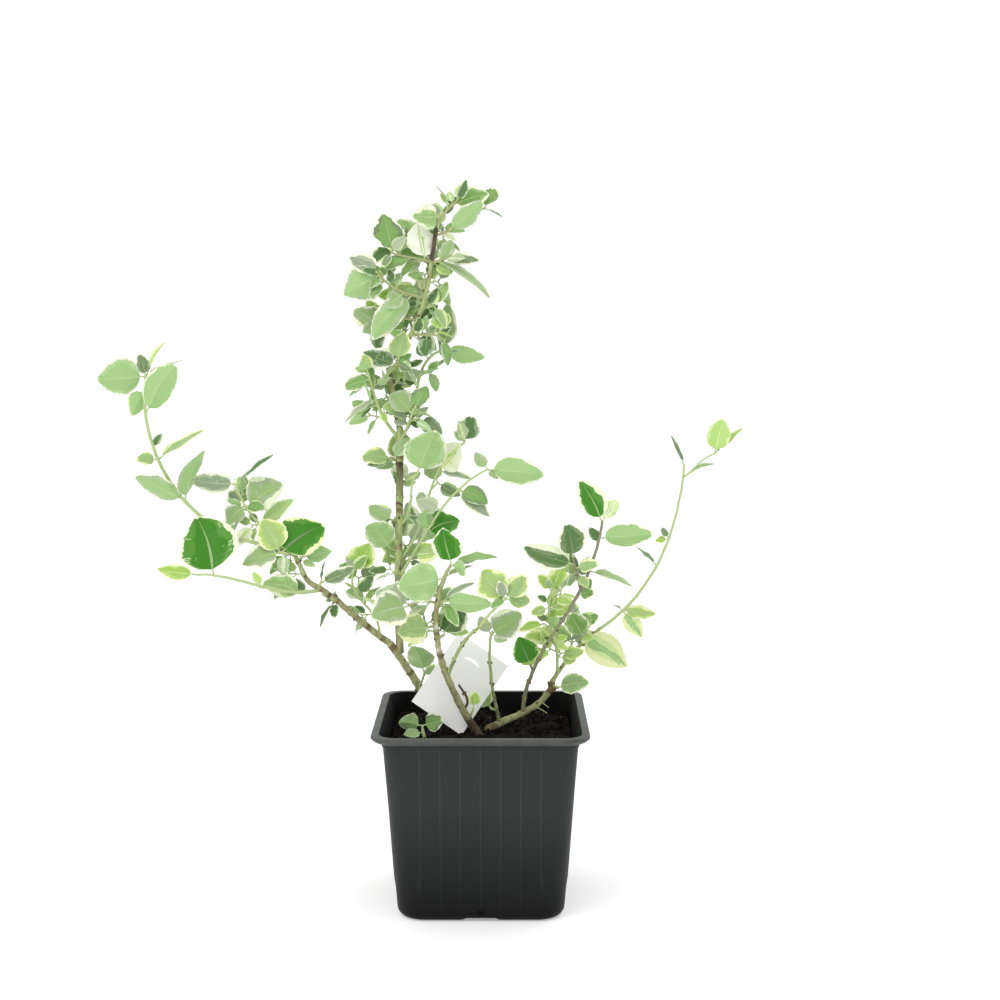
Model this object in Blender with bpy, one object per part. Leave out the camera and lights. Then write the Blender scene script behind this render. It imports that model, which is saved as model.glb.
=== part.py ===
"""A young potted wintercreeper with white-edged leaves, in a square nursery pot with a blank label.

Metres, +Z up, the viewer on the -Y side. The origin is the middle of the pot's flat underside.
The plant is grown by rule: a stem is a bent tapering tube that starts on the soil or on an older
stem, and its leaves and short spurs grow from its nodes. A leaf that would run into a stem, the
label, the pot or another leaf is turned a little, and is left out when no turn clears it.
"""

import math
import re
from typing import NamedTuple
from zlib import crc32

import bmesh
import bpy
import numpy as np
from mathutils.bvhtree import BVHTree

MM = 0.001
CLEAR = 0.3 * MM  # between two solids that touch on the real plant

# Pot
RIM_WIDTH = 90 * MM
POT_HEIGHT = 80 * MM
BASE_WIDTH = 70 * MM
NECK_WIDTH = 81 * MM  # just under the rim's flare
WALL = 1.2 * MM
LIP_WIDTH = 3.2 * MM
FLARE_HEIGHT = 4.4 * MM
LIP_HEIGHT = 1.3 * MM  # of the lip's upright edge
LIP_UNDERCUT = 0.6 * MM
EDGE_ROUNDING = 0.5 * MM
CORNER_RADIUS = 8.5 * MM
BASE_CORNER = 12 * MM  # the corners' radius at the foot
CORNER_STEPS = 4
FOOT_BEVEL = 1.2 * MM  # how far the foot's rounding steps in
FOOT_RISE = 1.6 * MM
FLOOR = 1.8 * MM
NOTCH_WIDTH = 14 * MM
NOTCH_HEIGHT = 1.5 * MM
NOTCH_DEPTH = 9 * MM
NOTCH_TOP = 0.8  # its width at the top over that at the foot
DRAIN_RADIUS = 1.5 * MM
DRAIN_HEIGHT = 4.2 * MM
FLOOR_HOLE_RADIUS = 3 * MM
FLOOR_HOLE_PLACE = 20 * MM
CUT_REACH = 3 * MM  # how far a cutter stands out on both sides

# Soil
SOIL_TOP = 73 * MM
SOIL_EDGE = 71 * MM
SOIL_FLAT = 60 * MM  # width of the level middle, where every stem stands

# Label
LABEL_WIDTH = 25.8 * MM
LABEL_LENGTH = 36.1 * MM
LABEL_THICK = 0.5 * MM
LABEL_CORNER = (-8.4 * MM, -8.8 * MM)  # its lowest corner, a little way into the soil
LABEL_SINK = 0.3 * MM
LABEL_UP = (20.0, 12.0, 27.6)  # the way of its long side: it leans right and back
LABEL_ACROSS = (-21.5, 3.7, 13.9)  # about the way of its short side
SLOT_PLACE = (14.0 * MM, 27.2 * MM)  # from the lowest corner, across and up the label
SLOT_RADIUS = 4.3 * MM
SLOT_HEIGHT = 2.6 * MM
SLOT_ARC = (20, 160)  # degrees
SLOT_STEPS = 9
SLOT_WAIST = 0.35, 0.65  # the lower arc's rise, and its foot, over the upper arc's

# Stems and leaves
STEPS = 24  # straight pieces along a stem's curve
LIMB_SIDES = 8
TWIG_SIDES = 3
RING_SPACING = 7 * MM
ROOT_REACH = 9 * MM  # how far a stem runs on below the soil before it is cut off level
FLARE = 0.25  # how much wider a stem's foot is than the stem
FLARE_REACH = 3 * MM
FLARE_TOP = 0.05
LEAST_SLANT = 0.3  # sine of the flattest angle at which a stem leaves an older one
LEAF_THICK = 0.36 * MM
PETIOLE_THICK = 0.8 * MM
LEAF_TRIES = 14
AIM_SLACK, AWAY_SLACK, ROLL_SLACK = 1.2, 5, 2.5  # degrees that each further try may turn a leaf
AIM_SPREAD, AWAY_SPREAD = 1.5, 1  # degrees that its first try is off
RATIO_SPREAD = (0.94, 1.04)
SHRINK = 0.01  # share of its length that a leaf loses at each further try
SMALL_WIDEST = 0.45  # where a small leaf is widest, from its foot to its tip
NECK_PLACE, NECK_WIDER = 0.04, 1.4  # a large blade's foot, and its width over the stalk's
BLADE_STATIONS = ((0.34, 0.97), (0.7, 0.8))  # place along a large blade, and share of its width
BARE_START = 1.6  # where a blade tested without its stalk starts, over the stalk's length
LEAF_REACH = 32 * MM  # a mass keeps this near to its own stem
SMALL_LEAF = 12.5 * MM  # a leaf under this has four faces to its upper side, a larger one eight
SWELL = 0.35 * MM  # clearance kept round each leaf
SOIL_CLEAR = 0.6 * MM
RIM_CLEAR = 1.5 * MM
RIM_REACH = 36 * MM  # from the pot's middle, where its rim begins to be in a leaf's way
BROAD, USUAL, SLENDER, EDGE_ON = 0.98, 0.72, 0.5, 0.5  # width of a blade over its length
LEAF_AWAY = (8, 24)  # degrees between a blade's length and the picture
MOST_AWAY = 70
LEVEL_RISE = 0.3  # rise over length under which a leaf counts as level
LEAF_ROLL = (8, 28)  # degrees that a blade is rolled from facing the viewer
EDGE_ROLL = (60, 74)  # the same for a leaf seen nearly edge on
LEAF_FOLD = (0.12, 0.34)  # how far the halves rise, over their width
LEAF_CURL = (0.02, 0.2)  # how far the tip drops, over the length
STALK_LEAST, STALK_SHARE = 1.1 * MM, 0.07
ROOT_SINK, ROOT_STEP = 0.12 * MM, 0.09 * MM  # a leaf's root past its twig's middle line
VIEWER = (0, -1, 0.12)
SPUR_PLACE = (0.35, 0.55)  # first share of a stem with spurs, and the length of that stretch
SPUR_LENGTH = (5, 9)  # mm
SPUR_AWAY = (50, 70)
SPUR_LEAN = 35
SPUR_LEAVES = (8, 13)  # mm
SPUR_KINDS = "mgdpy"
SPUR_GIRTH = (1.0, 0.8)  # mm at foot and tip
SPUR_SPREAD = (45, 80)  # degrees between a spur and its leaves

LEAF_NOTE = re.compile(r"([a-zA-Z])(\d+)([ns]?)@(-?\d+)")


class Stem(NamedTuple):
    """A limb or a twig.

    Aim is its heading seen from the front at foot, middle and tip, in degrees: 0 is right, 90 up
    and 180 left. Away is how far it turns from the viewer at foot and tip, in degrees. A leaf's
    note gives its kind, its length in mm and its heading: p shows its pale underside, the other
    letters only name its colour, a capital is a broad leaf, s is a slender one and n is one seen
    nearly edge on.
    """

    name: str
    on: object  # the older stem's name, or a place on the soil in mm
    at: float  # share of that stem's length
    length: float  # mm
    aim: tuple
    away: tuple
    girth: tuple  # mm at foot and tip
    leaves: dict = {}  # share of its length: notes of the leaves there
    spurs: int = 0
    mass: str = ""  # the mass that it is fused with, its own name if empty


LIMBS = [
    Stem("low_stem", (-20, 12), 0, 40.5, (110, 121, 126), (2, 2), (3.6, 3.4)),
    Stem("left_bough", "low_stem", 1, 43, (145, 136, 150), (-10, -14), (3.2, 2.6)),
    Stem("left_mid_bough", "left_bough", 1, 20.5, (137, 115, 175), (4, 0), (2.4, 1.7)),
    Stem("tall_trunk", "low_stem", 0.8, 94, (93, 89, 91), (8, 4), (3.6, 3.2)),
    Stem("middle_leader", "tall_trunk", 1, 28, (106, 98, 103), (6, 0), (2.5, 2.2)),
    Stem("crown_leader", "middle_leader", 1, 64, (42, 76, 80), (-8, 2), (2.2, 1.8)),
    Stem("front_stem", (-1.6, -8), 0, 72, (119, 106, 73), (-20, -8), (3.5, 2.1)),
    Stem("front_side_bough", "front_stem", 0.43, 25.5, (70, 60, 35), (-25, -15), (1.7, 1.4)),
    Stem("right_low_stem", (4.2, 1.5), 0, 38.5, (25, 22, 81), (35, 20), (3.2, 2.7)),
    Stem("back_stem", "right_low_stem", 0.12, 40.5, (100, 97, 86), (-30, -8), (1.5, 1.2)),
    Stem("right_dark_stem", "right_low_stem", 0.44, 45.5, (87, 67, 59), (-20, -12), (1.8, 1.5)),
    Stem("right_arching_branch", "right_low_stem", 1, 31, (54, 45, 32), (22, 16), (2.0, 1.7)),
    Stem("dead_twig", "front_stem", 0.18, 10.5, (65, 118, 114), (-12, -14), (1.2, 0.9)),
]

MASSES = [
    Stem("left_low_shoot", "left_bough", 0.88, 52, (186, 161, 182), (-30, -6), (1.8, 1.0),
         {0.05: "d10s@150", 0.1: "f16@165", 0.45: "y6@120", 0.85: "E25@110", 1: "y14s@168"}),
    Stem("left_node_tuft", "left_bough", 0.92, 2, (60, 60, 60), (-20, -20), (1.3, 1.0),
         {0.5: "d9n@80 d14s@25"}),
    Stem("left_mid_tuft", "left_mid_bough", 0.72, 3.5, (175, 174, 166), (-30, -20), (1.3, 1.0),
         {0.5: "c8@270", 0.6: "m7@235", 1: "E21@32 F15@125 m15@195"}),
    Stem("left_long_shoot", "left_mid_bough", 1, 103.5, (177, 127, 84), (-2, 8), (2.0, 1.3),
         {0.15: "g5@170", 0.2: "d7n@75", 0.45: "p21s@150 y9n@70 p25n@70", 0.65: "m8@180 m21n@45",
          0.7: "d6@65", 0.85: "p26s@52", 0.95: "p12@240", 1: "P18@180 y15n@70 d9@110 m16n@30"}),
    Stem("left_inner_shoot", "left_mid_bough", 0.9, 33, (142, 133, 101), (24, 8), (1.4, 0.9),
         {0.35: "f16s@35", 0.4: "y10n@15", 0.65: "M17@35", 0.7: "m9@0 G10@225",
          1: "g19s@170 d19n@40"}, 1),
    Stem("left_side_shoot", "left_bough", 0.1, 29.5, (96, 131, 63), (16, 8), (1.2, 0.9),
         {0.6: "c9n@-20", 0.65: "d9@45", 0.7: "y5n@145", 1: "Y13@60 F11@90 g6@120 m8@40"}, 1),
    Stem("trunk_left_tuft", "tall_trunk", 0.56, 1.5, (160, 160, 160), (-20, -20), (1.2, 1.0),
         {0.5: "m12@150 m8s@170"}),
    Stem("trunk_low_tuft", "tall_trunk", 0.42, 1.5, (150, 150, 150), (-25, -20), (1.2, 1.0),
         {0.9: "P14@130"}),
    Stem("trunk_high_tuft", "tall_trunk", 0.84, 3, (150, 150, 150), (-30, -20), (1.2, 1.0),
         {0.5: "d10s@195 g11@50", 0.75: "m12@175"}),
    Stem("fan_inner_shoot", "tall_trunk", 0.54, 25, (45, 86, 52), (-22, -14), (1.2, 0.9),
         {1: "P19@70"}),
    Stem("fan_middle_shoot", "tall_trunk", 0.38, 57, (49, 73, 26), (14, 6), (1.3, 0.9),
         {0.5: "G5@195", 0.7: "g14n@-10 C14@60", 1: "D11@75 g7@130 c9@105"}, 1),
    Stem("fan_outer_shoot", "tall_trunk", 0.3, 61, (57, 56, 25), (-16, -6), (1.4, 0.9),
         {0.15: "Y11@10", 0.35: "E15@20 P9@85", 0.4: "d9s@150", 0.55: "g11@160",
          0.75: "m12@-20 g16s@-40", 1: "p25s@0 g8@125 g5@-45"}),
    Stem("trunk_back_shoot", "tall_trunk", 0.33, 24, (60, 70, 76), (62, 40), (1.3, 0.9),
         {0.35: "m13@150 p12@20", 0.7: "g12@60 m13@210", 1: "d12@100 c10@10"}, 1),
    Stem("fork_tuft", "tall_trunk", 0.93, 16.5, (60, 69, 65), (-36, -20), (1.2, 1.0),
         {0.45: "d6@20 g6@160", 0.85: "M11@140 g8n@-5", 1: "M10@65"}),
    Stem("left_leader_shoot", "tall_trunk", 0.95, 29, (132, 110, 104), (-14, -4), (1.7, 1.1),
         {0.4: "y5@-60", 0.6: "g15n@215", 0.9: "m10@195", 1: "p5@120 m6@155 y8@105"}),
    Stem("right_leader_shoot", "tall_trunk", 0.95, 43.5, (51, 81, 5), (22, 4), (1.6, 1.0),
         {0.5: "D10@145", 0.6: "p9n@25", 0.8: "D7@120", 0.85: "c7@110", 0.95: "d8n@0",
          1: "m20s@90 p16s@-10"}),
    Stem("crown_tip", "crown_leader", 1, 11.5, (48, 46, 38), (0, 4), (1.6, 1.0),
         {0.1: "F11@175", 0.15: "g6@130 d8s@55", 0.75: "m15@20 c5@105", 1: "f7@75 d10s@72"}),
    Stem("crown_tip_side", "crown_leader", 0.9, 23, (17, 35, 23), (10, 2), (1.2, 0.9),
         {0.2: "p18s@38", 1: "m12@65 d8n@-25"}, 0, "crown_side_shoot"),
    Stem("crown_high_left_shoot", "crown_leader", 0.72, 16.5, (162, 170, 159), (-18, -6), (1.2, 0.9),
         {0.1: "C15@100", 0.2: "M9@160", 0.45: "m11s@200", 0.8: "m9@85",
          1: "M16@102 d6@235 g8@50"}, 1),
    Stem("crown_mid_left_shoot", "crown_leader", 0.48, 22, (170, 153, 123), (-12, -4), (1.4, 0.9),
         {0.2: "p24s@225", 0.35: "G9@210", 0.55: "m6@75", 0.65: "d6@100", 0.9: "m6@220",
          0.95: "P16@205", 1: "g14@145 d6@165"}, 1),
    Stem("crown_right_shoot", "crown_leader", 0.72, 8, (8, 24, 24), (-20, -10), (1.2, 0.9),
         {0.15: "c9@40", 0.2: "g25n@-25", 0.3: "m9@60", 0.6: "c9@15", 0.7: "d13s@-5"}),
    Stem("crown_low_left_shoot", "crown_leader", 0.32, 15, (172, 186, 216), (10, 4), (1.2, 0.9),
         {0.2: "y15n@30", 0.5: "c6@115", 0.65: "m8@235", 1: "G13@145 G8@205 y8@95"}, 1),
    Stem("crown_base_tuft", "middle_leader", 0.83, 6.5, (40, 56, 85), (-40, -20), (1.3, 1.0),
         {0.4: "p15n@215", 0.7: "d15@160", 0.8: "D6@-20", 0.85: "m6@35", 1: "M12@85"}),
    Stem("crown_mid_right_shoot", "crown_leader", 0.22, 9, (-4, 0, 50), (-16, -6), (1.2, 0.9),
         {0.1: "d8@95", 0.6: "D8@260 g7@30", 1: "Y9@60 y7n@-20"}),
    Stem("crown_back_high_shoot", "crown_leader", 0.67, 17, (113, 124, 137), (50, 42), (1.3, 0.9),
         {0.3: "g11@160 m12@50", 0.65: "m12@100 g10@210", 1: "p12@130 d11@40"}, 1),
    Stem("crown_back_low_shoot", "crown_leader", 0.25, 14, (120, 105, 120), (52, 42), (1.3, 0.9),
         {0.3: "m12@170 g12@30", 0.65: "d12@80 p10@220", 1: "m12@120 g11@50"}, 1),
    Stem("front_left_shoot", "front_stem", 0.9, 11.5, (162, 184, 211), (-24, -12), (1.3, 1.0),
         {0.15: "p18n@225", 0.9: "G15@160", 1: "G17@190"}, 1),
    Stem("front_low_left_tuft", "front_stem", 0.76, 1.5, (185, 185, 185), (-14, -14), (1.3, 1.0),
         {0.9: "M14@190"}),
    Stem("front_top_shoot", "front_stem", 1, 10, (68, 68, 53), (-10, -2), (2.2, 1.2),
         {0.35: "P18@185", 0.45: "g11n@20", 1: "E14@100 p18n@10 p9@-15"}),
    Stem("front_mid_right_tuft", "front_stem", 0.9, 1.5, (20, 20, 20), (-10, -10), (1.3, 1.0),
         {0.5: "p19s@0 g14n@35"}),
    Stem("front_right_tuft", "front_stem", 0.68, 1.5, (30, 30, 30), (-8, -8), (1.3, 1.0),
         {0.5: "D14@60"}),
    Stem("knob_shoot", "low_stem", 0.42, 7.5, (70, 74, 83), (-34, -24), (1.2, 0.9),
         {0.6: "m6@45", 0.9: "P13@105"}),
    Stem("basal_bud", "front_stem", 0.12, 2.5, (60, 70, 80), (-10, 0), (1.1, 0.9),
         {1: "Y6@90"}),
    Stem("side_crown_shoot", "front_side_bough", 1, 15.5, (61, 47, 43), (-12, -6), (1.4, 1.0),
         {0.7: "y5@75", 1: "F14@130 g7@115 M12@50 m10@-5 m6@205"}),
    Stem("back_stem_top", "back_stem", 1, 4, (76, 79, 53), (-14, -10), (1.2, 1.0),
         {0.5: "g8@125 M14@35 c6@-15"}),
    Stem("back_stem_low_tuft", "back_stem", 0.14, 1.5, (160, 160, 160), (-10, -10), (1.1, 0.9),
         {0.5: "m12@132"}),
    Stem("dark_stem_top", "right_dark_stem", 1, 48, (57, 68, 83), (-10, -2), (1.6, 1.2),
         {0.3: "M6@10", 0.5: "m5@-75", 0.55: "g18n@-20", 0.8: "d7@115", 0.85: "p22s@12",
          1: "e19@115 c11@60"}),
    Stem("dark_stem_fork", "dark_stem_top", 0.36, 15, (107, 103, 104), (-22, -12), (1.2, 0.9),
         {0.5: "m6@-50", 0.6: "d6@235", 0.7: "m9@20", 0.8: "d21s@160",
          1: "D13@97"}, 0, "dark_stem_top"),
    Stem("dark_stem_low_shoot", "right_dark_stem", 0.44, 1.5, (110, 110, 110), (-30, -30), (1.1, 0.9),
         {0.5: "E12@115"}),
    Stem("young_shoot", "right_arching_branch", 0.06, 38.5, (82, 103, 71), (-20, -4), (1.3, 0.9),
         {0.35: "y5@-15 d5@150", 0.4: "y5@210 y5@15", 0.55: "P6@85", 0.65: "d5@160",
          0.8: "y7@195 y8@20", 0.85: "d5@150", 1: "y12@70 y8@125 y7@30 p5@115"}),
    Stem("low_stem_end", "right_low_stem", 0.93, 2, (-12, -12, -12), (-30, -30), (1.6, 1.1),
         {0.5: "f13@12"}),
    Stem("arching_low_shoot", "right_arching_branch", 0.71, 2, (112, 108, 104), (-12, -8), (1.1, 0.9),
         {0.5: "w21@-35 d7n@190 M11@120 y10@10"}),
    Stem("arching_tip_shoot", "right_arching_branch", 1, 85.5, (31, 64, 86), (14, 4), (1.6, 1.1),
         {0.15: "w13@-50 d5n@150 f13s@-5 g10n@5", 0.45: "d11n@135", 0.6: "d5@120 y5@190",
          1: "d13n@110"}),
    Stem("arching_far_twig", "arching_tip_shoot", 0.93, 18, (36, 44, 18), (-4, -4), (1.0, 0.8),
         {0.2: "m11n@25", 1: "l15@76 y17n@40"}, 0, "arching_tip_shoot"),
    Stem("arching_back_shoot", "right_arching_branch", 0.4, 18, (80, 74, 80), (64, 40), (1.2, 0.9),
         {0.4: "m12@150 g11@20", 0.75: "p11@60 m10@200", 1: "d11@100 m10@20"}, 1),
    Stem("left_soil_tuft", (-24, -14), 0, 5, (108, 98, 92), (0, 0), (1.3, 1.0),
         {0.4: "m8@190", 1: "P9@165 M8@15"}),
]

LEAF_COLOUR = (0.16, 0.34, 0.12)
BARK_COLOUR = (0.22, 0.19, 0.10)
POT_COLOUR = (0.035, 0.036, 0.037)
PEAT_COLOUR = (0.022, 0.017, 0.012)
LABEL_COLOUR = (0.8, 0.8, 0.8)


def heading(aim, away):
    """Unit vector of a heading in degrees, seen from the front and away from the viewer."""
    a, b = math.radians(aim), math.radians(away)
    return np.array([math.cos(a) * math.cos(b), math.sin(b), math.sin(a) * math.cos(b)])


def stem_path(stem, foot):
    """The stem's middle line: its aim runs smoothly through its three values."""
    s = (np.arange(STEPS) + 0.5) / STEPS
    low, mid, high = stem.aim
    aim = np.radians(low * (1 - s) * (1 - 2 * s) + mid * 4 * s * (1 - s) + high * s * (2 * s - 1))
    away = np.radians(stem.away[0] + (stem.away[1] - stem.away[0]) * s)
    way = np.stack([np.cos(aim) * np.cos(away), np.sin(away), np.sin(aim) * np.cos(away)], -1)
    return np.concatenate([[foot], foot + np.cumsum(way * stem.length * MM / STEPS, axis=0)])


def along(path, share):
    """Point and direction at a share of the path's length."""
    step = min(int(share * STEPS), STEPS - 1)
    part = share * STEPS - step
    way = path[step + 1] - path[step]
    return path[step] + way * part, way / np.linalg.norm(way)


def thickness(stem, share):
    """Radius of the stem at a share of its length."""
    return (stem.girth[0] + (stem.girth[1] - stem.girth[0]) * share) * MM / 2


def foot_of(stem, grown):
    """Where the stem starts: on the soil, just clear of another mass's stem, or inside its own."""
    if isinstance(stem.on, tuple):
        return np.array([stem.on[0] * MM, stem.on[1] * MM, SOIL_TOP + CLEAR])
    older, path = grown[stem.on]
    point, way = along(path, stem.at)
    if mass_of(older) == mass_of(stem):
        return point
    start = heading(stem.aim[0], stem.away[0])
    across = abs(float(start @ way))
    off = math.sqrt(max(1 - across**2, 0))
    outer, inner = thickness(older, stem.at), thickness(stem, 0)
    if stem.at == 1:
        return point + start * (CLEAR + inner * off) / across
    return point + start * (outer + CLEAR + inner * across) / max(off, LEAST_SLANT)


def mass_of(stem):
    return stem.mass or stem.name


def rings_to_mesh(rings):
    """Closed tube through rings of points: a quad strip between rings and a cap at each end."""
    count, sides = len(rings), len(rings[0])
    around = np.arange(sides)
    after = (around + 1) % sides
    faces = [tuple(int(i) for i in around[::-1])]
    for ring in range(count - 1):
        low, high = ring * sides, (ring + 1) * sides
        faces += [
            (low + int(a), low + int(b), high + int(b), high + int(a))
            for a, b in zip(around, after)
        ]
    faces.append(tuple(int(i) + (count - 1) * sides for i in around))
    return np.concatenate(rings), faces


def tube(path, radii, sides):
    """Rings of points square to the path, carried along it without twist."""
    ways = np.gradient(path, axis=0)
    ways /= np.linalg.norm(ways, axis=1)[:, None]
    side = np.cross(ways[0], (0, 1, 0))
    side /= np.linalg.norm(side)
    angles = np.arange(sides) * 2 * math.pi / sides
    rings = []
    for point, way, radius in zip(path, ways, radii):
        side = side - way * (side @ way)
        side /= np.linalg.norm(side)
        other = np.cross(way, side)
        ring = np.cos(angles)[:, None] * side + np.sin(angles)[:, None] * other
        rings.append(point + ring * radius)
    return rings_to_mesh(rings)


def stem_mesh(stem, path, sides):
    """The stem's tube: a soil stem runs on below the ground, flared, to be cut off level."""
    count = max(2, round(stem.length * MM / RING_SPACING) + 1)
    picked = np.unique(np.linspace(0, STEPS, count).round().astype(int))
    points = path[picked]
    radii = np.array([thickness(stem, share) for share in picked / STEPS])
    if isinstance(stem.on, tuple):
        way = (path[1] - path[0]) / np.linalg.norm(path[1] - path[0])
        near = path[0] + way * FLARE_REACH
        below = path[0] - way * ROOT_REACH
        points = np.concatenate([[below, path[0], near], points[1:]])
        foot = radii[0]
        radii = np.concatenate([[foot * (1 + FLARE)] * 2, [foot * (1 + FLARE_TOP)], radii[1:]])
    return tube(points, radii, sides)


def leaf_mesh(leaf, spread=0.0, petiole=True):
    """A leaf as a thin folded blade on its stalk, widened by spread on all sides.

    Each cross-section is a flat arrow head: two edges, a rib above and a rib below.
    """
    half = leaf["length"] * leaf["ratio"] / 2
    stalk = leaf["stalk"]
    thick = LEAF_THICK / 2 + spread
    wire = PETIOLE_THICK / 2 + spread
    root = (0, wire, wire) if petiole else (stalk * BARE_START, wire, thick)
    if leaf["length"] < SMALL_LEAF:
        stations = [root, (stalk + leaf["length"] * SMALL_WIDEST, half + spread, thick)]
    else:
        stations = [root, (stalk + leaf["length"] * NECK_PLACE, wire * NECK_WIDER, thick)]
        stations += [
            (stalk + leaf["length"] * place, half * width + spread, thick)
            for place, width in BLADE_STATIONS
        ]
    if not petiole and len(stations) > 2:
        del stations[1]
    tip = stalk + leaf["length"] + spread
    way, up = leaf["way"], leaf["up"]
    side = np.cross(way, up)
    bend = leaf["curl"] / leaf["length"]

    def place(x, y, z):
        drop = -bend * max(x - stalk, 0) ** 2
        return leaf["root"] + way * x + side * y + up * (z + drop)

    points = []
    for x, wide, deep in stations:
        lift = leaf["fold"] * wide if x > stalk else 0
        points += [place(x, -wide, lift), place(x, 0, deep), place(x, wide, lift), place(x, 0, -deep)]
    points.append(place(tip, 0, 0))
    last = len(points) - 1
    faces = [(0, 1, 2), (0, 2, 3)]
    for low in range(0, last - 4, 4):
        for k in range(4):
            m = (k + 1) % 4
            faces += [(low + k, low + 4 + k, low + 4 + m), (low + k, low + 4 + m, low + m)]
    faces += [(last - 4 + k, last, last - 4 + (k + 1) % 4) for k in range(4)]
    return np.array(points), faces


def surface_tree(points, faces):
    """What another shape is tested against: a search tree with its box."""
    tree = BVHTree.FromPolygons([tuple(p) for p in points], faces)
    return tree, points.min(axis=0), points.max(axis=0)


def strikes(tested, placed):
    """Whether the tested surface cuts one of the placed ones."""
    tree, low, high = tested
    for other, other_low, other_high in placed:
        if (low < other_high).all() and (other_low < high).all() and tree.overlap(other):
            return True
    return False


def out_of_place(points):
    """Whether a point is in the soil, or too near the pot's rim or wall."""
    reach = np.abs(points[:, :2]).max(axis=1)
    in_soil = (points[:, 2] < SOIL_TOP + SOIL_CLEAR) & (reach < RIM_WIDTH / 2)
    in_rim = (points[:, 2] < POT_HEIGHT + RIM_CLEAR) & (reach > RIM_REACH)
    return bool((in_soil | in_rim).any())


def leaf_at(root, note, rng, attempt, nth):
    """The leaf that a note asks for, turned further from it at each further attempt."""
    kind, size, form, aim = note
    aim = float(aim) + rng.normal(0, AIM_SPREAD + AIM_SLACK * attempt)
    rises = math.sin(math.radians(aim))
    underside = kind.lower() == "p"
    toward = rises > LEVEL_RISE if underside else rises < -LEVEL_RISE
    if abs(rises) <= LEVEL_RISE:
        toward = nth % 2 == 0
    away = (-1 if toward else 1) * rng.uniform(*LEAF_AWAY)
    away += rng.normal(0, AWAY_SPREAD + AWAY_SLACK * attempt)
    way = heading(aim, max(-MOST_AWAY, min(MOST_AWAY, away)))
    if form == "n":
        roll = rng.uniform(*EDGE_ROLL)
    else:
        roll = rng.uniform(*LEAF_ROLL) + rng.normal(0, ROLL_SLACK * attempt)
    viewer = np.array(VIEWER)
    level = viewer - way * (viewer @ way)
    level /= np.linalg.norm(level)
    if underside:
        level = -level
    tilt = np.cross(way, level)
    if tilt[2] < 0:
        tilt = -tilt
    turn = math.radians(roll)
    ratio = BROAD if kind.isupper() else {"n": EDGE_ON, "s": SLENDER}.get(form, USUAL)
    length = int(size) * MM * (1 - SHRINK * attempt)
    return {
        "root": root - way * (ROOT_SINK + ROOT_STEP * nth),
        "way": way,
        "up": level * math.cos(turn) + tilt * math.sin(turn),
        "length": length,
        "ratio": ratio * rng.uniform(*RATIO_SPREAD),
        "stalk": STALK_LEAST + STALK_SHARE * length,
        "fold": rng.uniform(*LEAF_FOLD),
        "curl": rng.uniform(*LEAF_CURL),
        "kind": kind.lower(),
    }


def spurs_of(stem, path):
    """Short leafy twigs on the side away from the viewer, at places that the stem's seed picks."""
    rng = np.random.default_rng(crc32(stem.name.encode()) + 1)
    for nth in range(stem.spurs):
        share = SPUR_PLACE[0] + SPUR_PLACE[1] * (nth + rng.uniform(0.2, 0.8)) / stem.spurs
        way = along(path, share)[1]
        lean = math.degrees(math.atan2(way[2], way[0])) + rng.uniform(-SPUR_LEAN, SPUR_LEAN)
        away = rng.uniform(*SPUR_AWAY)
        pair = [f"{rng.choice(list(SPUR_KINDS))}{rng.integers(*SPUR_LEAVES)}@{lean + turn:.0f}"
                for turn in (rng.uniform(*SPUR_SPREAD), -rng.uniform(*SPUR_SPREAD))]
        length = rng.uniform(*SPUR_LENGTH)
        yield Stem(f"{stem.name}_spur_{nth}", stem.name, share, length, (lean,) * 3,
                   (away, away - 10), SPUR_GIRTH, {1: " ".join(pair)}, 0, mass_of(stem))


def grow():
    """Every stem with its path, and every leaf that found room, in the order they grow."""
    grown = {}
    for stem in LIMBS + MASSES:
        path = stem_path(stem, foot_of(stem, grown))
        grown[stem.name] = (stem, path)
        for spur in spurs_of(stem, path):
            grown[spur.name] = (spur, stem_path(spur, foot_of(spur, grown)))
    limbs = {stem.name for stem in LIMBS}
    stems = {
        name: stem_mesh(stem, path, LIMB_SIDES if name in limbs else TWIG_SIDES)
        for name, (stem, path) in grown.items()
    }
    trees = {name: surface_tree(*mesh) for name, mesh in stems.items()}
    label = surface_tree(*label_plate())
    leaves = []
    for name, (stem, path) in grown.items():
        rng = np.random.default_rng(crc32(name.encode()))
        own = mass_of(stem)
        others = [tree for key, tree in trees.items() if mass_of(grown[key][0]) != own] + [label]
        others += [leaf["tree"] for leaf in leaves if leaf["mass"] != own]
        same = [tree for key, tree in trees.items() if mass_of(grown[key][0]) == own]
        same += [leaf["tree"] for leaf in leaves if leaf["mass"] == own]
        for share, notes in stem.leaves.items():
            root = along(path, share)[0]
            for nth, note in enumerate(notes.split()):
                parts = LEAF_NOTE.fullmatch(note).groups()
                for attempt in range(LEAF_TRIES):
                    leaf = leaf_at(root, parts, rng, attempt, nth)
                    whole = leaf_mesh(leaf, SWELL)
                    blade = leaf_mesh(leaf, SWELL, petiole=False)
                    far = np.linalg.norm(path - whole[0][-1], axis=1).min() > LEAF_REACH
                    if far or out_of_place(whole[0]):
                        continue
                    if strikes(surface_tree(*whole), others) or strikes(surface_tree(*blade), same):
                        continue
                    leaf |= {"mass": own, "tree": surface_tree(*leaf_mesh(leaf))}
                    leaves.append(leaf)
                    same.append(leaf["tree"])
                    break
    return grown, stems, leaves


def material(name, colour, roughness):
    """A plain finish in the piece's own colour."""
    made = bpy.data.materials.new(name)
    made.use_nodes = True
    shader = made.node_tree.nodes["Principled BSDF"]
    shader.inputs["Base Color"].default_value = (*colour, 1)
    shader.inputs["Roughness"].default_value = roughness
    return made


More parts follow.
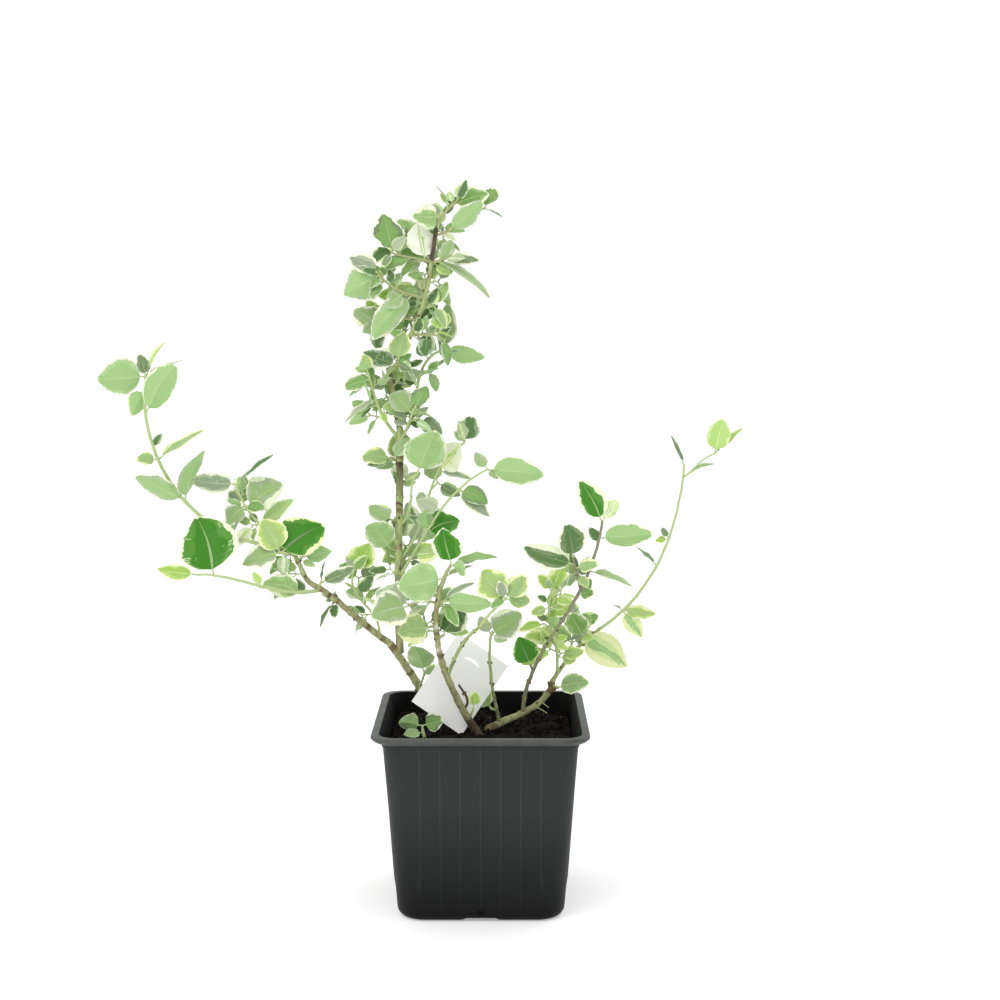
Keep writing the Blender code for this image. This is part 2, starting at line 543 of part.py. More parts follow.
def new_object(name, points, faces, finish):
    """A mesh object whose faces point outwards."""
    mesh = bpy.data.meshes.new(name)
    mesh.from_pydata([tuple(float(c) for c in p) for p in points], [], faces)
    mesh.materials.append(finish)
    made = bpy.data.objects.new(name, mesh)
    bpy.context.scene.collection.objects.link(made)
    shape = bmesh.new()
    shape.from_mesh(mesh)
    bmesh.ops.recalc_face_normals(shape, faces=shape.faces)
    if shape.calc_volume(signed=True) < 0:
        bmesh.ops.reverse_faces(shape, faces=shape.faces)
    shape.to_mesh(mesh)
    shape.free()
    return made


def cut_level(made):
    """Cuts the object off flat, just clear of the soil."""
    shape = bmesh.new()
    shape.from_mesh(made.data)
    whole = shape.verts[:] + shape.edges[:] + shape.faces[:]
    cut = bmesh.ops.bisect_plane(
        shape, geom=whole, plane_co=(0, 0, SOIL_TOP + CLEAR), plane_no=(0, 0, 1), clear_inner=True
    )
    edges = [part for part in cut["geom_cut"] if isinstance(part, bmesh.types.BMEdge)]
    bmesh.ops.contextual_create(shape, geom=edges)
    bmesh.ops.recalc_face_normals(shape, faces=shape.faces)
    shape.to_mesh(made.data)
    shape.free()


def smooth(made, angle=35):
    made.data.shade_smooth()
    made.data.set_sharp_from_angle(angle=math.radians(angle))


def rounded_square(half, radius, height):
    """A level ring of points: a square of the given half width with round corners."""
    quarter = np.linspace(0, math.pi / 2, CORNER_STEPS + 1)
    points = []
    for corner in range(4):
        turn = corner * math.pi / 2
        centre = np.array([half - radius, half - radius])
        arc = centre + radius * np.stack([np.cos(quarter), np.sin(quarter)], -1)
        spin = np.array([[math.cos(turn), math.sin(turn)], [-math.sin(turn), math.cos(turn)]])
        points.append(arc @ spin)
    flat = np.concatenate(points)
    return np.column_stack([flat, np.full(len(flat), height)])


def pot_half(height):
    """Half width of the pot's outer wall at a height, below the flare."""
    share = height / (POT_HEIGHT - FLARE_HEIGHT)
    return (BASE_WIDTH + (NECK_WIDTH - BASE_WIDTH) * share) / 2


def pot_rings():
    """The pot's wall as rings: up the outside, over the lip and down the inside to the floor."""
    neck = POT_HEIGHT - FLARE_HEIGHT
    rim = RIM_WIDTH / 2
    inside = CORNER_RADIUS - WALL
    edge = EDGE_ROUNDING
    under = POT_HEIGHT - LIP_HEIGHT
    profile = [
        (pot_half(0) - FOOT_BEVEL, BASE_CORNER - FOOT_BEVEL, 0),
        (pot_half(0) - FOOT_BEVEL / 4, BASE_CORNER - FOOT_BEVEL / 4, FOOT_RISE / 4),
        (pot_half(FOOT_RISE), BASE_CORNER, FOOT_RISE),
        (pot_half(neck), CORNER_RADIUS, neck),
        (rim - edge, CORNER_RADIUS, under - LIP_UNDERCUT),
        (rim, CORNER_RADIUS, under),
        (rim, CORNER_RADIUS, POT_HEIGHT - edge),
        (rim - edge, CORNER_RADIUS - edge, POT_HEIGHT),
        (rim - LIP_WIDTH, inside, POT_HEIGHT),
        (rim - LIP_WIDTH - edge, inside, POT_HEIGHT - edge),
        (pot_half(neck) - WALL, inside, neck + edge),
        (pot_half(FLOOR) - WALL, BASE_CORNER - WALL, FLOOR),
    ]
    return [rounded_square(*row) for row in profile]


def box_points(size, centre, top_share=1.0):
    """Corners of a box, its top narrower by top_share, in the order that BOX_FACES reads."""
    x, y, z = (np.array(size) / 2).tolist()
    low = [(-x, -y, -z), (x, -y, -z), (x, y, -z), (-x, y, -z)]
    high = [(px * top_share, py, -pz) for px, py, pz in low]
    return np.array(low + high) + centre


BOX_FACES = [(3, 2, 1, 0), (4, 5, 6, 7), (0, 1, 5, 4), (1, 2, 6, 5), (2, 3, 7, 6), (3, 0, 4, 7)]


def tube_y(radius, low, high, sides):
    """A rod along Y, whose rings start from +Z because Y is where the other rods' rings start."""
    angles = np.arange(sides) * 2 * math.pi / sides
    ring = np.stack([np.sin(angles), np.zeros(sides), np.cos(angles)], -1) * radius
    return rings_to_mesh([low + ring, high + ring])


def quarter_turns(points, turn):
    """The points turned round Z by a number of quarter turns."""
    spin = np.array([[0.0, 1, 0], [-1, 0, 0], [0, 0, 1]])
    return points @ np.linalg.matrix_power(spin, turn)


def cut_with(made, cutters):
    """Takes the cutters out of the object and removes them."""
    for points, faces in cutters:
        cutter = new_object("cutter", points, faces, made.data.materials[0])
        change = made.modifiers.new("cut", "BOOLEAN")
        change.operation = "DIFFERENCE"
        change.object = cutter
        apply_modifiers(made)
        bpy.data.objects.remove(cutter)


def apply_modifiers(made):
    """Puts the object's evaluated mesh in place of its mesh."""
    graph = bpy.context.evaluated_depsgraph_get()
    shaped = bpy.data.meshes.new_from_object(made.evaluated_get(graph))
    old = made.data
    made.modifiers.clear()
    made.data = shaped
    name = old.name
    bpy.data.meshes.remove(old)
    shaped.name = name


def build_pot():
    finish = material("black_plastic", POT_COLOUR, 0.45)
    pot = new_object("pot", *rings_to_mesh(pot_rings()), finish)
    cutters = []
    wall, place = BASE_WIDTH / 2, FLOOR_HOLE_PLACE
    for turn in range(4):
        notch = box_points((NOTCH_WIDTH, NOTCH_DEPTH, 2 * NOTCH_HEIGHT), (0, -wall, 0), NOTCH_TOP)
        cutters.append((quarter_turns(notch, turn), BOX_FACES))
        outer = np.array([0, -wall - CUT_REACH, DRAIN_HEIGHT])
        inner = np.array([0, -wall + CUT_REACH, DRAIN_HEIGHT])
        drain, faces = tube_y(DRAIN_RADIUS, outer, inner, 10)
        cutters.append((quarter_turns(drain, turn), faces))
        axis = np.array([[place, place, -CUT_REACH], [place, place, FLOOR + CUT_REACH]])
        hole, faces = tube(axis, [FLOOR_HOLE_RADIUS] * 2, 12)
        cutters.append((quarter_turns(hole, turn), faces))
    cut_with(pot, cutters)
    smooth(pot)


def build_soil():
    """The peat fills the pot from its floor, with a level top that drops a little at the wall."""
    inside = CORNER_RADIUS - WALL - CLEAR
    gap = WALL + CLEAR
    level = SOIL_FLAT / 2
    rings = [
        rounded_square(pot_half(FLOOR + CLEAR) - gap, BASE_CORNER - gap, FLOOR + CLEAR),
        rounded_square(pot_half(SOIL_EDGE) - gap, inside, SOIL_EDGE),
        rounded_square(level, inside, SOIL_TOP),
    ]
    new_object("soil", *rings_to_mesh(rings), material("peat", PEAT_COLOUR, 0.95))


def label_axes():
    """Across and up the label, and its thickness direction, as unit vectors."""
    up, across = np.array(LABEL_UP), np.array(LABEL_ACROSS)
    up = up / np.linalg.norm(up)
    across = across - up * (across @ up)
    across /= np.linalg.norm(across)
    return across, up, np.cross(across, up)


def label_plate():
    """The label as a flat plate, before its foot is cut level and its slot is cut."""
    across, up, out = label_axes()
    corner = np.array([*LABEL_CORNER, SOIL_TOP - LABEL_SINK])
    points = [
        corner + across * x + up * y + out * z
        for z in (-LABEL_THICK / 2, LABEL_THICK / 2)
        for x, y in ((0, 0), (LABEL_WIDTH, 0), (LABEL_WIDTH, LABEL_LENGTH), (0, LABEL_LENGTH))
    ]
    return np.array(points), BOX_FACES


def crescent():
    """The slot's outline: one arc bowed up and a flatter one under it."""
    rise, foot = SLOT_WAIST
    angles = np.radians(np.linspace(*SLOT_ARC, SLOT_STEPS))
    top = np.stack([np.cos(angles) * SLOT_RADIUS, np.sin(angles) * SLOT_HEIGHT], -1)
    under = top[1:-1][::-1] * (1, rise) + (0, top[0][1] * foot)
    return np.concatenate([top, under])


def build_label():
    plate = new_object("plant_label", *label_plate(), material("white_plastic", LABEL_COLOUR, 0.4))
    cut_level(plate)
    across, up, out = label_axes()
    corner = np.array([*LABEL_CORNER, SOIL_TOP - LABEL_SINK])
    rings = [
        np.array([
            corner + across * (SLOT_PLACE[0] + x) + up * (SLOT_PLACE[1] + y) + out * z
            for x, y in crescent()
        ])
        for z in (-CUT_REACH, CUT_REACH)
    ]
    cut_with(plate, [rings_to_mesh(rings)])


def one_body(made):
    """Keeps the outer skin of the largest body: drops loose scraps and fills sealed hollows."""
    shape = bmesh.new()
    shape.from_mesh(made.data)
    seen, groups = set(), []
    for start in shape.faces:
        if start in seen:
            continue
        group, queue = [], [start]
        seen.add(start)
        while queue:
            face = queue.pop()
            group.append(face)
            for edge in face.edges:
                for near in edge.link_faces:
                    if near not in seen:
                        seen.add(near)
                        queue.append(near)
        groups.append(group)
    groups.sort(key=len)
    spare = [face for group in groups[:-1] for face in group]
    bmesh.ops.delete(shape, geom=spare, context="FACES")
    shape.to_mesh(made.data)
    shape.free()


def fuse(made, pieces, finish, solver="EXACT"):
    """Joins the pieces to the object by one union on a collection, then removes them."""
    group = bpy.data.collections.new(made.name + "_pieces")
    for nth, (points, faces) in enumerate(pieces):
        piece = new_object(f"{made.name}_{nth}", points, faces, finish)
        bpy.context.scene.collection.objects.unlink(piece)
        group.objects.link(piece)
    bpy.context.scene.collection.children.link(group)
    change = made.modifiers.new("fuse", "BOOLEAN")
    change.operation = "UNION"
    change.operand_type = "COLLECTION"
    change.collection = group
    change.solver = solver
    apply_modifiers(made)
    for piece in list(group.objects):
        bpy.data.objects.remove(piece)
    bpy.data.collections.remove(group)
    one_body(made)


def build_plant():
    bark = material("bark", BARK_COLOUR, 0.8)
    green = material("leaf", LEAF_COLOUR, 0.5)
    grown, stems, leaves = grow()
    limbs = {stem.name for stem in LIMBS}
    bodies = {}
    for name, (stem, _path) in grown.items():
        bodies.setdefault(mass_of(stem), []).append(name)
    for mass, names in bodies.items():
        first, *rest = names
        finish = bark if mass in limbs else green
        made = new_object(mass, *stems[first], finish)
        if isinstance(grown[first][0].on, tuple):
            cut_level(made)
        pieces = [stems[name] for name in rest]
        pieces += [leaf_mesh(leaf) for leaf in leaves if leaf["mass"] == mass]
        if pieces:
            fuse(made, pieces, finish)
        if mass in limbs:
            smooth(made, 60)


def main():
    for old in list(bpy.data.objects):
        bpy.data.objects.remove(old)
    build_pot()
    build_soil()
    build_label()
    build_plant()


main()
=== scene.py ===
"""Looks of a young potted wintercreeper: bark, twigs, white-edged leaves, peat, pot and blank label.

The plant grows here by the same rule as in the part's source, so every stem and leaf stands where
its solid does. The rule is then carried on to finer twigs and small leaves, and each leaf is drawn
as a fine folded blade whose pale margin follows its toothed edge. Metres, +Z up, the viewer on the
-Y side.
"""

import logging
import math
import re
from dataclasses import dataclass, field
from enum import Enum
from zlib import crc32

import bmesh
import bpy
import numpy as np
from mathutils.bvhtree import BVHTree
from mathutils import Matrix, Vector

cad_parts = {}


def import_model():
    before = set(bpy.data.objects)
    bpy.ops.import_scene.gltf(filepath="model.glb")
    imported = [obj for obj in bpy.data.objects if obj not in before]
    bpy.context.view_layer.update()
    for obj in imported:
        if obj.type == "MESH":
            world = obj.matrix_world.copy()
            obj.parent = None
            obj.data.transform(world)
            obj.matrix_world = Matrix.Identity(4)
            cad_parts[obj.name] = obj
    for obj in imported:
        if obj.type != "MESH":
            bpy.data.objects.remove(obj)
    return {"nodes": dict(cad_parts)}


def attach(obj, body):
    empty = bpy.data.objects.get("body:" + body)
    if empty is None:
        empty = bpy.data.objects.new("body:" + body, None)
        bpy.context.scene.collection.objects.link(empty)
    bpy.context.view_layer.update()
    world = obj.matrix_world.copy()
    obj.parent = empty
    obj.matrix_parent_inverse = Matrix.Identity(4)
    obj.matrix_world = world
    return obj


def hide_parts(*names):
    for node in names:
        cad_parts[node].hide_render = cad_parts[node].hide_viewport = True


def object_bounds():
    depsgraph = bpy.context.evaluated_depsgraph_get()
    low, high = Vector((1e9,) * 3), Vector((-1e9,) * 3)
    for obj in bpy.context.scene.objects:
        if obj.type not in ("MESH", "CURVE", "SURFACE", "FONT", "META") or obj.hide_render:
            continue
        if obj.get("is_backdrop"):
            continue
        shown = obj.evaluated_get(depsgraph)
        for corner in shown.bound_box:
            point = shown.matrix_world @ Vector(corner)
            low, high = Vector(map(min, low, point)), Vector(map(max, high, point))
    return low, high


log = logging.getLogger("wintercreeper")

MM = 0.001
CLEAR = 0.3 * MM  # between two solids that touch on the real plant
WELD = 0.00005 * MM  # points nearer than this are one

# Camera, worked out from the photo
CAMERA_PLACE = (0.008, -0.721, 0.256)
CAMERA_PITCH = 6.6  # degrees down
CAMERA_LENS = 61.6  # mm on a 36 mm sensor

# Pot
RIM_WIDTH = 90 * MM
POT_HEIGHT = 80 * MM
BASE_WIDTH = 70 * MM
NECK_WIDTH = 81 * MM  # just under the rim's flare
WALL = 1.2 * MM
LIP_WIDTH = 3.2 * MM
FLARE_HEIGHT = 4.4 * MM
COLLAR_HEIGHT = 2.6 * MM  # of the slightly proud ring under the lip
COLLAR_STEP = 0.35 * MM
CORNER_RADIUS = 8.5 * MM
BASE_CORNER = 12 * MM
FOOT_ROUNDING = 3.8 * MM
FLOOR = 1.8 * MM
NOTCH_WIDTH = 14 * MM
NOTCH_HEIGHT = 1.5 * MM
RIB_SPACING = 8.3 * MM
RIB_HEIGHT = 0.3 * MM
RIB_WIDTH = 0.6 * MM
RIBBED_WIDTH = 58 * MM
DRAIN_RADIUS = 1.6 * MM
DRAIN_HEIGHT = 4.2 * MM

# Soil and label
SOIL_TOP = 73 * MM
SOIL_EDGE = 71 * MM
LABEL_WIDTH = 25.8 * MM
LABEL_LENGTH = 36.1 * MM
LABEL_THICK = 0.5 * MM
LABEL_CORNER = (-8.4 * MM, -8.8 * MM)
LABEL_SINK = 0.3 * MM
LABEL_UP = (20.0, 12.0, 27.6)
LABEL_ACROSS = (-21.5, 3.7, 13.9)

# Growth, as in the part's source
STEPS = 24  # straight pieces along a stem's curve
LIMB_SIDES = 8
TWIG_SIDES = 3
RING_SPACING = 7 * MM
ROOT_REACH = 9 * MM
FLARE = 0.25
FLARE_REACH = 3 * MM
LEAF_THICK = 0.36 * MM
PETIOLE_THICK = 0.8 * MM
LEAF_TRIES = 14
AIM_SLACK, AWAY_SLACK, ROLL_SLACK = 1.2, 5, 2.5  # degrees that each further try may turn a leaf
SHRINK = 0.01
SMALL_WIDEST = 0.45
NECK_PLACE, NECK_WIDER = 0.04, 1.4
BLADE_STATIONS = ((0.34, 0.97), (0.7, 0.8))
BARE_START = 1.6
LEAF_REACH = 32 * MM
SMALL_LEAF = 12.5 * MM
SWELL = 0.35 * MM
SOIL_CLEAR = 0.6 * MM
RIM_CLEAR = 1.5 * MM
RIM_REACH = 36 * MM
BROAD, USUAL, SLENDER, EDGE_ON = 0.98, 0.72, 0.5, 0.5  # width of a blade over its length
LEAF_AWAY = (8, 24)
MOST_AWAY = 70
LEVEL_RISE = 0.3
LEAF_ROLL = (8, 28)
EDGE_ROLL = (60, 74)
LEAF_FOLD = (0.12, 0.34)
LEAF_CURL = (0.02, 0.2)
STALK_LEAST, STALK_SHARE = 1.1 * MM, 0.07
ROOT_SINK, ROOT_STEP = 0.12 * MM, 0.09 * MM
VIEWER = (0, -1, 0.12)
SPUR_PLACE = (0.35, 0.55)
SPUR_LENGTH = (5, 9)
SPUR_AWAY = (50, 70)
SPUR_LEAN = 35
SPUR_LEAVES = (8, 13)
SPUR_SPREAD = (45, 80)

# Finer growth than the solids have
FINE_LEAF = 9 * MM  # leaves under this are drawn with fewer faces
FINE_TRIES = 8
FINE_KINDS = "mffgpcd"  # beside those of the older stem's own leaves
FINE_FORMS = ("", "s", "n")  # usual, slender and nearly edge on
FINE_LENGTH = (3, 7)  # mm
FINE_LEAN = (25, 70)  # degrees between a fine twig and its stem
FINE_AWAY = (0, 78)  # they grow on the side away from the viewer, behind the leaves that show
FINE_START, FINE_STOP = 0.12, 0.96  # shares of a stem between which they grow
FINE_SPREAD = (30, 75)  # degrees between a fine twig and its leaves
FINE_LEAVES = ((0.5, (6, 9)), (1, (8, 12)))  # place on the twig, lengths in mm

LEAF_NOTE = re.compile(r"([a-zA-Z])(\d+)([ns]?)@(-?\d+)")


@dataclass
class Stem:
    """A limb or a twig, described as in the part's source.

    Aim is its heading seen from the front at foot, middle and tip, in degrees: 0 is right, 90 up
    and 180 left. Away is how far it turns from the viewer at foot and tip, in degrees. A leaf's
    note gives its kind, its length in mm and its heading: p shows its pale underside, the other
    letters name its colour, a capital is a broad leaf, s is a slender one and n is one seen
    nearly edge on.
    """

    name: str
    on: object
    at: float
    length: float
    aim: tuple
    away: tuple
    girth: tuple
    leaves: dict = field(default_factory=dict)
    spurs: int = 0
    mass: str = ""

    @property
    def body(self) -> str:
        """Name of the mass that the stem belongs to."""
        return self.mass or self.name

    @property
    def in_soil(self) -> bool:
        """Whether the stem starts on the soil."""
        return isinstance(self.on, tuple)

    def radius(self, share):
        """Radius at a share of the stem's length."""
        return (self.girth[0] + (self.girth[1] - self.girth[0]) * share) * MM / 2


LIMBS = [
    Stem("low_stem", (-20, 12), 0, 40.5, (110, 121, 126), (2, 2), (3.6, 3.4)),
    Stem("left_bough", "low_stem", 1, 43, (145, 136, 150), (-10, -14), (3.2, 2.6)),
    Stem("left_mid_bough", "left_bough", 1, 20.5, (137, 115, 175), (4, 0), (2.4, 1.7)),
    Stem("tall_trunk", "low_stem", 0.8, 94, (93, 89, 91), (8, 4), (3.6, 3.2)),
    Stem("middle_leader", "tall_trunk", 1, 28, (106, 98, 103), (6, 0), (2.5, 2.2)),
    Stem("crown_leader", "middle_leader", 1, 64, (42, 76, 80), (-8, 2), (2.2, 1.8)),
    Stem("front_stem", (-1.6, -8), 0, 72, (119, 106, 73), (-20, -8), (3.5, 2.1)),
    Stem("front_side_bough", "front_stem", 0.43, 25.5, (70, 60, 35), (-25, -15), (1.7, 1.4)),
    Stem("right_low_stem", (4.2, 1.5), 0, 38.5, (25, 22, 81), (35, 20), (3.2, 2.7)),
    Stem("back_stem", "right_low_stem", 0.12, 40.5, (100, 97, 86), (-30, -8), (1.5, 1.2)),
    Stem("right_dark_stem", "right_low_stem", 0.44, 45.5, (87, 67, 59), (-20, -12), (1.8, 1.5)),
    Stem("right_arching_branch", "right_low_stem", 1, 31, (54, 45, 32), (22, 16), (2.0, 1.7)),
    Stem("dead_twig", "front_stem", 0.18, 10.5, (65, 118, 114), (-12, -14), (1.2, 0.9)),
]

MASSES = [
    Stem("left_low_shoot", "left_bough", 0.88, 52, (186, 161, 182), (-30, -6), (1.8, 1.0),
         {0.05: "d10s@150", 0.1: "f16@165", 0.45: "y6@120", 0.85: "E25@110", 1: "y14s@168"}),
    Stem("left_node_tuft", "left_bough", 0.92, 2, (60, 60, 60), (-20, -20), (1.3, 1.0),
         {0.5: "d9n@80 d14s@25"}),
    Stem("left_mid_tuft", "left_mid_bough", 0.72, 3.5, (175, 174, 166), (-30, -20), (1.3, 1.0),
         {0.5: "c8@270", 0.6: "m7@235", 1: "E21@32 F15@125 m15@195"}),
    Stem("left_long_shoot", "left_mid_bough", 1, 103.5, (177, 127, 84), (-2, 8), (2.0, 1.3),
         {0.15: "g5@170", 0.2: "d7n@75", 0.45: "p21s@150 y9n@70 p25n@70", 0.65: "m8@180 m21n@45",
          0.7: "d6@65", 0.85: "p26s@52", 0.95: "p12@240", 1: "P18@180 y15n@70 d9@110 m16n@30"}),
    Stem("left_inner_shoot", "left_mid_bough", 0.9, 33, (142, 133, 101), (24, 8), (1.4, 0.9),
         {0.35: "f16s@35", 0.4: "y10n@15", 0.65: "M17@35", 0.7: "m9@0 G10@225",
          1: "g19s@170 d19n@40"}, 1),
    Stem("left_side_shoot", "left_bough", 0.1, 29.5, (96, 131, 63), (16, 8), (1.2, 0.9),
         {0.6: "c9n@-20", 0.65: "d9@45", 0.7: "y5n@145", 1: "Y13@60 F11@90 g6@120 m8@40"}, 1),
    Stem("trunk_left_tuft", "tall_trunk", 0.56, 1.5, (160, 160, 160), (-20, -20), (1.2, 1.0),
         {0.5: "m12@150 m8s@170"}),
    Stem("trunk_low_tuft", "tall_trunk", 0.42, 1.5, (150, 150, 150), (-25, -20), (1.2, 1.0),
         {0.9: "P14@130"}),
    Stem("trunk_high_tuft", "tall_trunk", 0.84, 3, (150, 150, 150), (-30, -20), (1.2, 1.0),
         {0.5: "d10s@195 g11@50", 0.75: "m12@175"}),
    Stem("fan_inner_shoot", "tall_trunk", 0.54, 25, (45, 86, 52), (-22, -14), (1.2, 0.9),
         {1: "P19@70"}),
    Stem("fan_middle_shoot", "tall_trunk", 0.38, 57, (49, 73, 26), (14, 6), (1.3, 0.9),
         {0.5: "G5@195", 0.7: "g14n@-10 C14@60", 1: "D11@75 g7@130 c9@105"}, 1),
    Stem("fan_outer_shoot", "tall_trunk", 0.3, 61, (57, 56, 25), (-16, -6), (1.4, 0.9),
         {0.15: "Y11@10", 0.35: "E15@20 P9@85", 0.4: "d9s@150", 0.55: "g11@160",
          0.75: "m12@-20 g16s@-40", 1: "p25s@0 g8@125 g5@-45"}),
    Stem("trunk_back_shoot", "tall_trunk", 0.33, 24, (60, 70, 76), (62, 40), (1.3, 0.9),
         {0.35: "m13@150 p12@20", 0.7: "g12@60 m13@210", 1: "d12@100 c10@10"}, 1),
    Stem("fork_tuft", "tall_trunk", 0.93, 16.5, (60, 69, 65), (-36, -20), (1.2, 1.0),
         {0.45: "d6@20 g6@160", 0.85: "M11@140 g8n@-5", 1: "M10@65"}),
    Stem("left_leader_shoot", "tall_trunk", 0.95, 29, (132, 110, 104), (-14, -4), (1.7, 1.1),
         {0.4: "y5@-60", 0.6: "g15n@215", 0.9: "m10@195", 1: "p5@120 m6@155 y8@105"}),
    Stem("right_leader_shoot", "tall_trunk", 0.95, 43.5, (51, 81, 5), (22, 4), (1.6, 1.0),
         {0.5: "D10@145", 0.6: "p9n@25", 0.8: "D7@120", 0.85: "c7@110", 0.95: "d8n@0",
          1: "m20s@90 p16s@-10"}),
    Stem("crown_tip", "crown_leader", 1, 11.5, (48, 46, 38), (0, 4), (1.6, 1.0),
         {0.1: "F11@175", 0.15: "g6@130 d8s@55", 0.75: "m15@20 c5@105", 1: "f7@75 d10s@72"}),
    Stem("crown_tip_side", "crown_leader", 0.9, 23, (17, 35, 23), (10, 2), (1.2, 0.9),
         {0.2: "p18s@38", 1: "m12@65 d8n@-25"}, 0, "crown_side_shoot"),
    Stem("crown_high_left_shoot", "crown_leader", 0.72, 16.5, (162, 170, 159), (-18, -6), (1.2, 0.9),
         {0.1: "C15@100", 0.2: "M9@160", 0.45: "m11s@200", 0.8: "m9@85",
          1: "M16@102 d6@235 g8@50"}, 1),
    Stem("crown_mid_left_shoot", "crown_leader", 0.48, 22, (170, 153, 123), (-12, -4), (1.4, 0.9),
         {0.2: "p24s@225", 0.35: "G9@210", 0.55: "m6@75", 0.65: "d6@100", 0.9: "m6@220",
          0.95: "P16@205", 1: "g14@145 d6@165"}, 1),
    Stem("crown_right_shoot", "crown_leader", 0.72, 8, (8, 24, 24), (-20, -10), (1.2, 0.9),
         {0.15: "c9@40", 0.2: "g25n@-25", 0.3: "m9@60", 0.6: "c9@15", 0.7: "d13s@-5"}),
    Stem("crown_low_left_shoot", "crown_leader", 0.32, 15, (172, 186, 216), (10, 4), (1.2, 0.9),
         {0.2: "y15n@30", 0.5: "c6@115", 0.65: "m8@235", 1: "G13@145 G8@205 y8@95"}, 1),
    Stem("crown_base_tuft", "middle_leader", 0.83, 6.5, (40, 56, 85), (-40, -20), (1.3, 1.0),
         {0.4: "p15n@215", 0.7: "d15@160", 0.8: "D6@-20", 0.85: "m6@35", 1: "M12@85"}),
    Stem("crown_mid_right_shoot", "crown_leader", 0.22, 9, (-4, 0, 50), (-16, -6), (1.2, 0.9),
         {0.1: "d8@95", 0.6: "D8@260 g7@30", 1: "Y9@60 y7n@-20"}),
    Stem("crown_back_high_shoot", "crown_leader", 0.67, 17, (113, 124, 137), (50, 42), (1.3, 0.9),
         {0.3: "g11@160 m12@50", 0.65: "m12@100 g10@210", 1: "p12@130 d11@40"}, 1),
    Stem("crown_back_low_shoot", "crown_leader", 0.25, 14, (120, 105, 120), (52, 42), (1.3, 0.9),
         {0.3: "m12@170 g12@30", 0.65: "d12@80 p10@220", 1: "m12@120 g11@50"}, 1),
    Stem("front_left_shoot", "front_stem", 0.9, 11.5, (162, 184, 211), (-24, -12), (1.3, 1.0),
         {0.15: "p18n@225", 0.9: "G15@160", 1: "G17@190"}, 1),
    Stem("front_low_left_tuft", "front_stem", 0.76, 1.5, (185, 185, 185), (-14, -14), (1.3, 1.0),
         {0.9: "M14@190"}),
    Stem("front_top_shoot", "front_stem", 1, 10, (68, 68, 53), (-10, -2), (2.2, 1.2),
         {0.35: "P18@185", 0.45: "g11n@20", 1: "E14@100 p18n@10 p9@-15"}),
    Stem("front_mid_right_tuft", "front_stem", 0.9, 1.5, (20, 20, 20), (-10, -10), (1.3, 1.0),
         {0.5: "p19s@0 g14n@35"}),
    Stem("front_right_tuft", "front_stem", 0.68, 1.5, (30, 30, 30), (-8, -8), (1.3, 1.0),
         {0.5: "D14@60"}),
    Stem("knob_shoot", "low_stem", 0.42, 7.5, (70, 74, 83), (-34, -24), (1.2, 0.9),
         {0.6: "m6@45", 0.9: "P13@105"}),
    Stem("basal_bud", "front_stem", 0.12, 2.5, (60, 70, 80), (-10, 0), (1.1, 0.9),
         {1: "Y6@90"}),
    Stem("side_crown_shoot", "front_side_bough", 1, 15.5, (61, 47, 43), (-12, -6), (1.4, 1.0),
         {0.7: "y5@75", 1: "F14@130 g7@115 M12@50 m10@-5 m6@205"}),
    Stem("back_stem_top", "back_stem", 1, 4, (76, 79, 53), (-14, -10), (1.2, 1.0),
         {0.5: "g8@125 M14@35 c6@-15"}),
    Stem("back_stem_low_tuft", "back_stem", 0.14, 1.5, (160, 160, 160), (-10, -10), (1.1, 0.9),
         {0.5: "m12@132"}),
    Stem("dark_stem_top", "right_dark_stem", 1, 48, (57, 68, 83), (-10, -2), (1.6, 1.2),
         {0.3: "M6@10", 0.5: "m5@-75", 0.55: "g18n@-20", 0.8: "d7@115", 0.85: "p22s@12",
          1: "e19@115 c11@60"}),
    Stem("dark_stem_fork", "dark_stem_top", 0.36, 15, (107, 103, 104), (-22, -12), (1.2, 0.9),
         {0.5: "m6@-50", 0.6: "d6@235", 0.7: "m9@20", 0.8: "d21s@160",
          1: "D13@97"}, 0, "dark_stem_top"),
    Stem("dark_stem_low_shoot", "right_dark_stem", 0.44, 1.5, (110, 110, 110), (-30, -30), (1.1, 0.9),
         {0.5: "E12@115"}),
    Stem("young_shoot", "right_arching_branch", 0.06, 38.5, (82, 103, 71), (-20, -4), (1.3, 0.9),
         {0.35: "y5@-15 d5@150", 0.4: "y5@210 y5@15", 0.55: "P6@85", 0.65: "d5@160",
          0.8: "y7@195 y8@20", 0.85: "d5@150", 1: "y12@70 y8@125 y7@30 p5@115"}),
    Stem("low_stem_end", "right_low_stem", 0.93, 2, (-12, -12, -12), (-30, -30), (1.6, 1.1),
         {0.5: "f13@12"}),
    Stem("arching_low_shoot", "right_arching_branch", 0.71, 2, (112, 108, 104), (-12, -8), (1.1, 0.9),
         {0.5: "w21@-35 d7n@190 M11@120 y10@10"}),
    Stem("arching_tip_shoot", "right_arching_branch", 1, 85.5, (31, 64, 86), (14, 4), (1.6, 1.1),
         {0.15: "w13@-50 d5n@150 f13s@-5 g10n@5", 0.45: "d11n@135", 0.6: "d5@120 y5@190",
          1: "d13n@110"}),
    Stem("arching_far_twig", "arching_tip_shoot", 0.93, 18, (36, 44, 18), (-4, -4), (1.0, 0.8),
         {0.2: "m11n@25", 1: "l15@76 y17n@40"}, 0, "arching_tip_shoot"),
    Stem("arching_back_shoot", "right_arching_branch", 0.4, 18, (80, 74, 80), (64, 40), (1.2, 0.9),
         {0.4: "m12@150 g11@20", 0.75: "p11@60 m10@200", 1: "d11@100 m10@20"}, 1),
    Stem("left_soil_tuft", (-24, -14), 0, 5, (108, 98, 92), (0, 0), (1.3, 1.0),
         {0.4: "m8@190", 1: "P9@165 M8@15"}),
]

